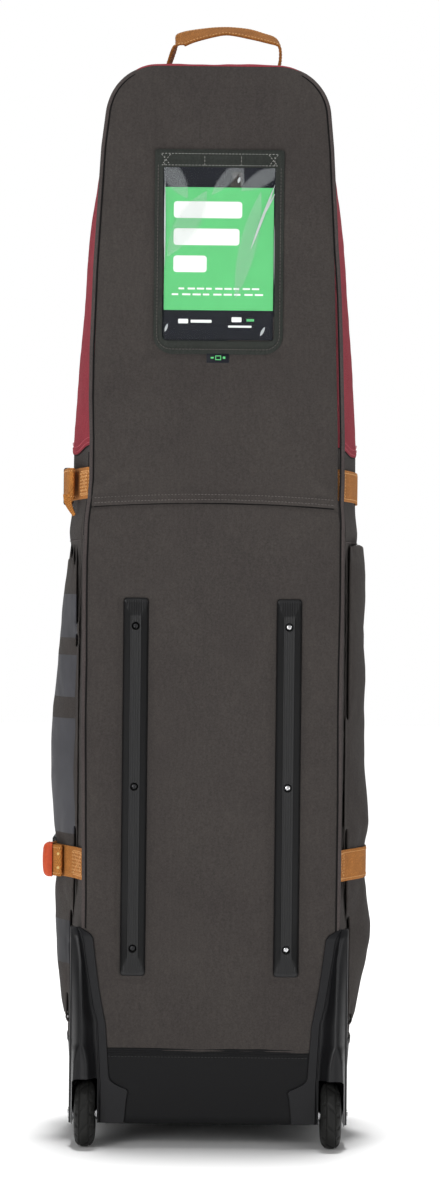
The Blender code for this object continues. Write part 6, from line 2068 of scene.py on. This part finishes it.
def shifted(make, across, up):
    """Everything a function makes, moved across and up."""
    before = set(bpy.data.objects)
    make()
    for piece in set(bpy.data.objects) - before:
        if piece.type == "MESH":
            piece.data.transform(Matrix.Translation((across, 0, up)))


def sleeve():
    """The address sleeve: bound frame, stitches, clear film, backing, card and label."""
    outer = rounded_loop(SLEEVE_HALF, SLEEVE_LOW_Z, SLEEVE_HIGH_Z, SLEEVE_R, 0.0025)
    inner = rounded_loop(WINDOW_HALF, WINDOW_LOW_Z, WINDOW_HIGH_Z, 0.0060, 0.0012)
    profile = [(0.0, 0.0002), (0.0, 0.0026), (0.03, 0.0033), (0.12, 0.0036), (0.42, 0.0034), (0.52, 0.0029),
               (0.62, 0.0034), (0.88, 0.0036), (0.97, 0.0034), (1.0, 0.0029), (1.0, 0.0002)]
    frame_piece = ring_frame("sleeve_binding", outer, inner, profile, "binding")
    wobble = noise_at(np.array([v.co for v in frame_piece.data.vertices]), 60.0, 12.0) * 0.0003
    for vertex, amount in zip(frame_piece.data.vertices, wobble):
        if vertex.co.y < BACK_Y - 0.0021:
            vertex.co.y += amount
        elif vertex.co.z > WINDOW_HIGH_Z - 0.001 and abs(vertex.co.x) < WINDOW_HALF + 0.002:
            vertex.co.y = BACK_Y - 0.0020  # the card slides up under the top band
    edge_path = [(x, BACK_Y - 0.0018, z) for x, z in np.concatenate([outer, outer[:1]])]
    piping = sweep("sleeve_edge", edge_path, (0, -1, 0), circle(0.0014, 8), "binding")
    finish_piece(join("sleeve_binding", frame_piece, piping), "case", "sleeve_binding", "sleeve_frame")

    ring = outer + (inner - outer) * 0.30
    ring = ring[np.argsort(np.arctan2(ring[:, 0], SLEEVE_MIDDLE_Z - ring[:, 1]))]
    ring = ring[ring[:, 1] < SLEEVE_HIGH_Z - 0.012]
    rows = [([(x, BACK_Y - 0.0036, z) for x, z in ring], (0, -1, 0))]
    finish_piece(stitches("sleeve_stitches", rows, "grey_thread", radius=0.00032), "case", "sleeve_binding")
    bar_z, reach = SLEEVE_HIGH_Z - 0.0040, SLEEVE_HALF - 0.006
    top = [([(x, BACK_Y - 0.0036, z) for x in np.linspace(-reach, reach, 60)], (0, -1, 0))
           for z in (bar_z, SLEEVE_HIGH_Z - 0.0178)]
    for x0 in (-0.066, -0.018, 0.026, 0.066):
        top.append(([(x0, BACK_Y - 0.0035, z) for z in np.linspace(SLEEVE_HIGH_Z - 0.019, bar_z, 12)],
                    (0, -1, 0)))
    for end in (-1, 1):
        a, b = end * (reach - 0.012), end * reach
        for s0, s1 in ((a, b), (b, a)):
            top.append(([(s0 + (s1 - s0) * s, BACK_Y - 0.0036, bar_z - 0.015 * s)
                         for s in np.linspace(0, 1, 16)],
                        (0, -1, 0)))
    finish_piece(stitches("sleeve_band_stitches", top, "pale_thread", 0.0026, 0.0018, 0.00034), "case",
                 "sleeve_binding")

    x, z = np.meshgrid(np.linspace(-WINDOW_HALF + 0.0006, WINDOW_HALF - 0.0006, 90),
                       np.linspace(WINDOW_LOW_Z + 0.0006, WINDOW_HIGH_Z - 0.0006, 130))
    seed = np.stack([x, z, np.zeros_like(x)], -1)
    edge = np.minimum(WINDOW_HALF - np.abs(x), np.minimum(z - WINDOW_LOW_Z, WINDOW_HIGH_Z - z))
    slack = np.clip(edge / 0.012, 0, 1)
    ripple = noise_at(seed, 28.0, 51.0, (1.0, 0.7, 1.0)) * 0.0009 + noise_at(seed, 75.0, 54.0) * 0.00035
    low = np.exp(-((z - WINDOW_LOW_Z - 0.022) / 0.018) ** 2)
    points = np.stack([x, BACK_Y - 0.0029 - slack * (ripple * (0.6 + 1.2 * low) + 0.0003), z], -1)
    finish_piece(sheet("sleeve_film", points, 0.0003, ["clear"]), "case", "clear_film", "sleeve_window")
    backing = bevelled_box("sleeve_backing", (-WINDOW_HALF - 0.002, BACK_Y - 0.00045, WINDOW_LOW_Z - 0.002),
                           (WINDOW_HALF + 0.002, BACK_Y + 0.0003, WINDOW_HIGH_Z + 0.002), "card_black",
                           0.0001, 1)
    finish_piece(backing, "case", "sleeve_binding")
    card()
    label()


def flat_bar(name, x0, x1, z0, z1, material, y=BACK_Y - 0.00145, thick=0.00012, r=None):
    """A printed bar, a little raised, with rounded ends."""
    r = min(x1 - x0, z1 - z0) * 0.18 if r is None else r
    loop = rounded_loop((x1 - x0) / 2, -(z1 - z0) / 2, (z1 - z0) / 2, r, r, 3, 4)
    middle_x, middle_z = (x0 + x1) / 2, (z0 + z1) / 2
    bm = extruded([(middle_x + a, y, middle_z + b) for a, b in loop], (0, thick, 0))
    return from_bmesh(name, bm, material)


def card():
    """A green card with a dark foot and plain blocks where an address or a greeting goes."""
    (low_x, low_y, low_z), (high_x, high_y, high_z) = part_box("address_card")
    split = low_z + 0.0355
    face = low_y + 0.00002
    parts = [bevelled_box("card_body", (low_x, face, split), (high_x, high_y, high_z), "green", 0.0002, 1),
             bevelled_box("card_foot", (low_x, face, low_z), (high_x, high_y, split), "card_black",
                          0.0002, 1)]
    left = low_x + 0.011
    for top, wide in ((1.1370, 0.0820), (1.1045, 0.0790), (1.0720, 0.0400)):
        parts.append(flat_bar("bar", left, left + wide, top - 0.0200, top, "white", face - 0.0001))
    for top, start, stop in ((1.0335, -0.0480, 0.0510), (1.0265, -0.0560, 0.0560)):
        x = start
        for k in range(9):
            wide = (stop - start) / 9 * (0.80 if k % 3 else 0.62)
            parts.append(flat_bar("line", x, x + wide, top - 0.0022, top, "white", face - 0.0001))
            x += (stop - start) / 9
    parts.append(flat_bar("mark_a", -0.0480, -0.0360, 0.9905, 0.9960, "white", face - 0.0001))
    parts.append(flat_bar("mark_b", -0.0330, -0.0080, 0.9915, 0.9950, "white", face - 0.0001))
    parts.append(flat_bar("mark_c", 0.0160, 0.0280, 0.9925, 0.9985, "white", face - 0.0001))
    parts.append(flat_bar("mark_d", 0.0120, 0.0400, 0.9860, 0.9885, "white", face - 0.0001))
    parts.append(flat_bar("mark_e", 0.0340, 0.0430, 0.9935, 0.9965, "green", face - 0.0001))
    finish_piece(join("address_card_print", *parts), "card", "green_card", "address_card")


def label():
    """A small woven tab folded under the sleeve's foot."""
    y = BACK_Y - 0.0030
    parts = [bevelled_box("tab", (-0.0135, y, SLEEVE_LOW_Z - 0.0115),
                          (0.0135, y + 0.0014, SLEEVE_LOW_Z + 0.001), "card_black", 0.0005, 2)]
    z = SLEEVE_LOW_Z - 0.0055
    for x0, x1, z0, z1 in ((-0.0085, -0.0050, -0.0010, 0.0010), (-0.0030, 0.0040, -0.0027, -0.0018),
                           (-0.0030, 0.0040, 0.0018, 0.0027), (-0.0030, -0.0021, -0.0018, 0.0018),
                           (0.0031, 0.0040, -0.0018, 0.0018), (0.0060, 0.0090, -0.0012, 0.0016)):
        parts.append(flat_bar("woven_mark", x0, x1, z + z0, z + z1, "green", y - 0.00012))
    finish_piece(join("sleeve_label", *parts), "case", "sleeve_binding")


# ---------------------------------------------------------------- handles

def ribbon(name, path, directions, widths, thick, material="webbing"):
    """A strap whose width direction turns along its path."""
    path, directions = np.asarray(path, float), np.asarray(directions, float)
    widths = np.broadcast_to(widths, (len(path),))
    tangent = np.gradient(path, axis=0)
    tangent /= np.linalg.norm(tangent, axis=1, keepdims=True)
    directions = directions - tangent * np.sum(directions * tangent, axis=1, keepdims=True)
    directions /= np.linalg.norm(directions, axis=1, keepdims=True)
    out = np.cross(directions, tangent)
    profile = np.array(strap_profile(1.0, thick))
    ring = (path[:, None] + directions[:, None] * profile[None, :, :1] * widths[:, None, None]
            + out[:, None] * profile[None, :, 1:])
    faces = tube_faces(*ring.shape[:2])
    length = np.concatenate([[0], np.cumsum(np.linalg.norm(np.diff(path, axis=0), axis=1))])
    uvs = np.stack(np.broadcast_arrays(length[:, None], profile[None, :, 0] * widths[:, None]),
                   -1).reshape(-1, 2)
    web = outward(mesh_piece(name, ring.reshape(-1, 3), faces, [material], 50, None, uvs))
    return web, directions, out


def top_handle():
    """A webbing handle that stands up from two sewn feet and twists at its shoulders."""
    base = HANDLE_AXIS_Z
    # x, height over the axis, depth, then the strap's width direction as (x, y, z), then its width
    stations = [(-0.0645, -0.0050, 0.000, (0.04, 1.0, 0.0), 0.022),
                (-0.0625, 0.0050, 0.000, (0.06, 1.0, 0.0), 0.026),
                (-0.0598, 0.0135, 0.001, (0.07, 1.0, 0.0), 0.030),
                (-0.0565, 0.0235, 0.002, (0.07, 1.0, 0.0), 0.033),
                (-0.0530, 0.0320, 0.002, (0.05, 1.0, 0.12), 0.034),
                (-0.0488, 0.0384, 0.001, (0.02, 1.0, 0.70), 0.034),
                (-0.0430, 0.0414, 0.001, (0.0, 1.0, 0.80), 0.034),
                (-0.0290, 0.0455, 0.000, (0.0, 1.0, 0.64), 0.034),
                (-0.0080, 0.0497, 0.000, (0.0, 1.0, 0.50), 0.034),
                (0.0070, 0.0514, 0.000, (0.0, 1.0, 0.42), 0.034),
                (0.0200, 0.0508, 0.000, (0.0, 1.0, 0.44), 0.034),
                (0.0370, 0.0482, 0.000, (0.0, 1.0, 0.50), 0.034),
                (0.0530, 0.0442, 0.000, (0.0, 1.0, 0.46), 0.034),
                (0.0680, 0.0397, 0.001, (0.0, 1.0, 0.42), 0.033),
                (0.0745, 0.0320, 0.002, (0.02, 1.0, 0.16), 0.032),
                (0.0755, 0.0190, 0.002, (0.02, 1.0, 0.02), 0.029),
                (0.0735, 0.0070, 0.001, (0.02, 1.0, 0.0), 0.025),
                (0.0710, -0.0050, 0.000, (0.02, 1.0, 0.0), 0.022)]
    count = 150
    path = spline([(x, HANDLE_Y + y, base + z) for x, z, y, _, _ in stations], count)
    turn = spline([d for _, _, _, d, _ in stations], count)
    width = spline([(w, 0, 0) for _, _, _, _, w in stations], count)[:, 0]
    # the handle takes the darker copy of the tan webbing, painted shade
    web, across, out = ribbon("top_handle_webbing", path, turn, width, 0.0030, "shaded_handle_webbing")
    rows = []
    for sign in (-1, 1):
        for face in (-1, 1):
            line = path + across * sign * (width[:, None] / 2 - 0.0030) + out * face * 0.0015
            rows.append((line[12:-12], (out * face)[12:-12]))
    sewn = stitches("top_handle_rows", rows, "tan_thread", 0.0026, 0.0016, 0.00036)
    piece = join("top_handle_webbing", web, sewn)
    labelled(piece, "tan_webbing", "top_handle")
    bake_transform(piece)
    for x in HANDLE_FEET_X:
        z = CROWN_Z + float(crown_lift(abs(x), HANDLE_Y, 0.135))
        patch = bevelled_box("foot_patch", (x - 0.0065, HANDLE_Y - 0.014, z - 0.0030),
                             (x + 0.0065, HANDLE_Y + 0.014, z + 0.0016), "binding", 0.0012, 3)
        finish_piece(patch, "case", "tan_webbing")
        patch.name = "handle_foot_left" if x < 0 else "handle_foot_right"


def carry_handle():
    """A padded webbing handle on the lid's front."""
    z = 0.252
    y = float(front_line(z)) + 0.0078
    reach, drop = 0.066, 0.036
    line = [(-reach, 0.0, 0.001), (-reach + 0.001, 0.0012, -0.010), (-reach + 0.006, 0.003, -drop * 0.66),
            (-reach + 0.018, 0.006, -drop), (0.0, 0.009, -drop - 0.003), (reach - 0.018, 0.006, -drop),
            (reach - 0.006, 0.003, -drop * 0.66), (reach - 0.001, 0.0012, -0.010), (reach, 0.0, 0.001)]
    path = spline([(x, y + out, z + down) for x, out, down in line], 110)
    web, across, out = ribbon("carry_handle_webbing", path,
                              np.cross(np.gradient(path, axis=0), (0, 1.0, 0)), 0.019, 0.0028)
    rows = []
    for sign in (-1, 1):
        for face in (-1, 1):
            rows.append((path + across * sign * 0.0068 + out * face * 0.0014, out * face))
    sewn = stitches("carry_handle_rows", rows, "tan_thread", *HANDLE_STITCH)
    grip_path = path[34:76]
    swell = np.sin(np.linspace(0.06, math.pi - 0.06, len(grip_path))) ** 0.3
    grip = sweep("carry_handle_grip", grip_path, (0, 1, 0), oval(0.0112, 0.0030, 20), "boot", swell)
    finish_piece(join("carry_handle_webbing", web, sewn, grip), "carry_handle", "tan_webbing", "carry_handle")
    for side, name in ((-1, "left"), (1, "right")):
        x = side * reach
        face = float(lid_face_y(x, z))
        patch = bevelled_box(f"carry_patch_{name}", (x - 0.013, face - 0.0012, z - 0.004),
                             (x + 0.013, face + 0.0022, z + 0.030), "webbing", 0.0012, 3)
        rows = []
        for s0, s1 in (((-1, 0), (1, 0)), ((-1, 1), (1, 1)), ((-1, 0), (-1, 1)), ((1, 0), (1, 1)),
                       ((-1, 0), (1, 1)), ((1, 0), (-1, 1))):
            rows.append(([(x + (s0[0] + (s1[0] - s0[0]) * t) * 0.010, face + 0.0023,
                           z + (s0[1] + (s1[1] - s0[1]) * t) * 0.024) for t in np.linspace(0, 1, 20)],
                         (0, 1, 0)))
        sewn = stitches(f"carry_patch_rows_{name}", rows, "tan_thread", *HANDLE_STITCH)
        finish_piece(join(f"carry_patch_{name}", patch, sewn), "lid", "tan_webbing")


# ---------------------------------------------------------------- inside

def inside():
    """The stiffening sheet, the base board, the tie strap and the pad under the hood."""
    for node, key in (("frame_sheet", "plastic"), ("base_board", "plastic")):
        obj = bpy.data.objects[node]
        obj.data.materials.clear()
        obj.data.materials.append(MATERIALS[key])
    z, y = 0.519, -0.1444
    x = np.linspace(-0.0700, 0.0700, 60)
    sag = y + 0.0004 * np.sin(x * 60)
    path = np.stack([x, sag, np.full_like(x, z)], -1)
    web = strap("tie_webbing", path, (0, 1, 0), "black_webbing", 0.0380, 0.0018)
    (low_x, low_y, low_z), (high_x, high_y, high_z) = (-0.020, y - 0.0002, z - 0.0235), (0.020,
                                                                                         y + 0.0060, z
                                                                                         + 0.0235)
    buckle_piece = bevelled_box("tie_buckle", (low_x, low_y, low_z), (high_x, high_y, high_z), "buckle",
                                0.0020, 3)
    for a, b in ((-0.0150, -0.0040), (0.0040, 0.0150)):
        cut(buckle_piece, bevelled_box("slot", (a, y - 0.01, z - 0.0185), (b, y + 0.02, z + 0.0185),
                                       "buckle", 0.001, 2))
    finish_piece(join("tie_webbing", web, buckle_piece), "case", "tan_webbing", "tie_strap")
    hood_pad()


def hood_pad():
    """A quilted pad lining the hood's top, over the club heads."""
    (_, low_y, low_z), (_, high_y, high_z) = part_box("hood_foam")
    mesh = bpy.data.objects["hood_foam"].data.copy()
    pad = bpy.data.objects.new("hood_pad", mesh)
    bpy.context.scene.collection.objects.link(pad)
    mesh.materials.clear()
    mesh.materials.append(MATERIALS["foam"])
    centre = np.array((0, (low_y + high_y) / 2, (low_z + high_z) / 2))
    for vertex in mesh.vertices:
        place = np.array(vertex.co)
        vertex.co = centre + (place - centre) * 0.985

    def pins(points):
        return np.clip(smoothstep(high_y - 0.012, high_y - 0.004, points[:, 1])
                       + 1 - smoothstep(low_y + 0.004, low_y + 0.012, points[:, 1])
                       + 0.9 * np.exp(-((np.abs(points[:, 0]) - 0.06) / 0.004) ** 2), 0, 1)

    puffed(pad, pins, 0.003, 3.0, 0.0060, 10)
    finish_piece(pad, "case", "padding", "hood_foam")


def build():
    back_panel("lower_back_cloth", BOOT_TOP_Z - 0.004, SEAM_Z, "lower_back_panel", shaped_high=seam_z)
    back_panel("upper_back_cloth", SEAM_Z, CROWN_Z, "upper_back_panel", shaped_low=seam_z)
    welt()
    waist_seam()
    for side in (-1, 1):
        gusset(side)
        skid_rail(side)
        wheel_housing(side)
        wheel(side)
        side_pocket(side)
    front_foot()
    hood_cloth()
    hood_hems()
    lid()
    boot()
    main_zip()
    foot_zip()
    sliders()
    side_straps()
    hinge_cloth()
    front_pocket()
    shifted(sleeve, SLEEVE_SHIFT_X, SLEEVE_SHIFT_Z)
    top_handle()
    carry_handle()
    inside()


build()
stage()
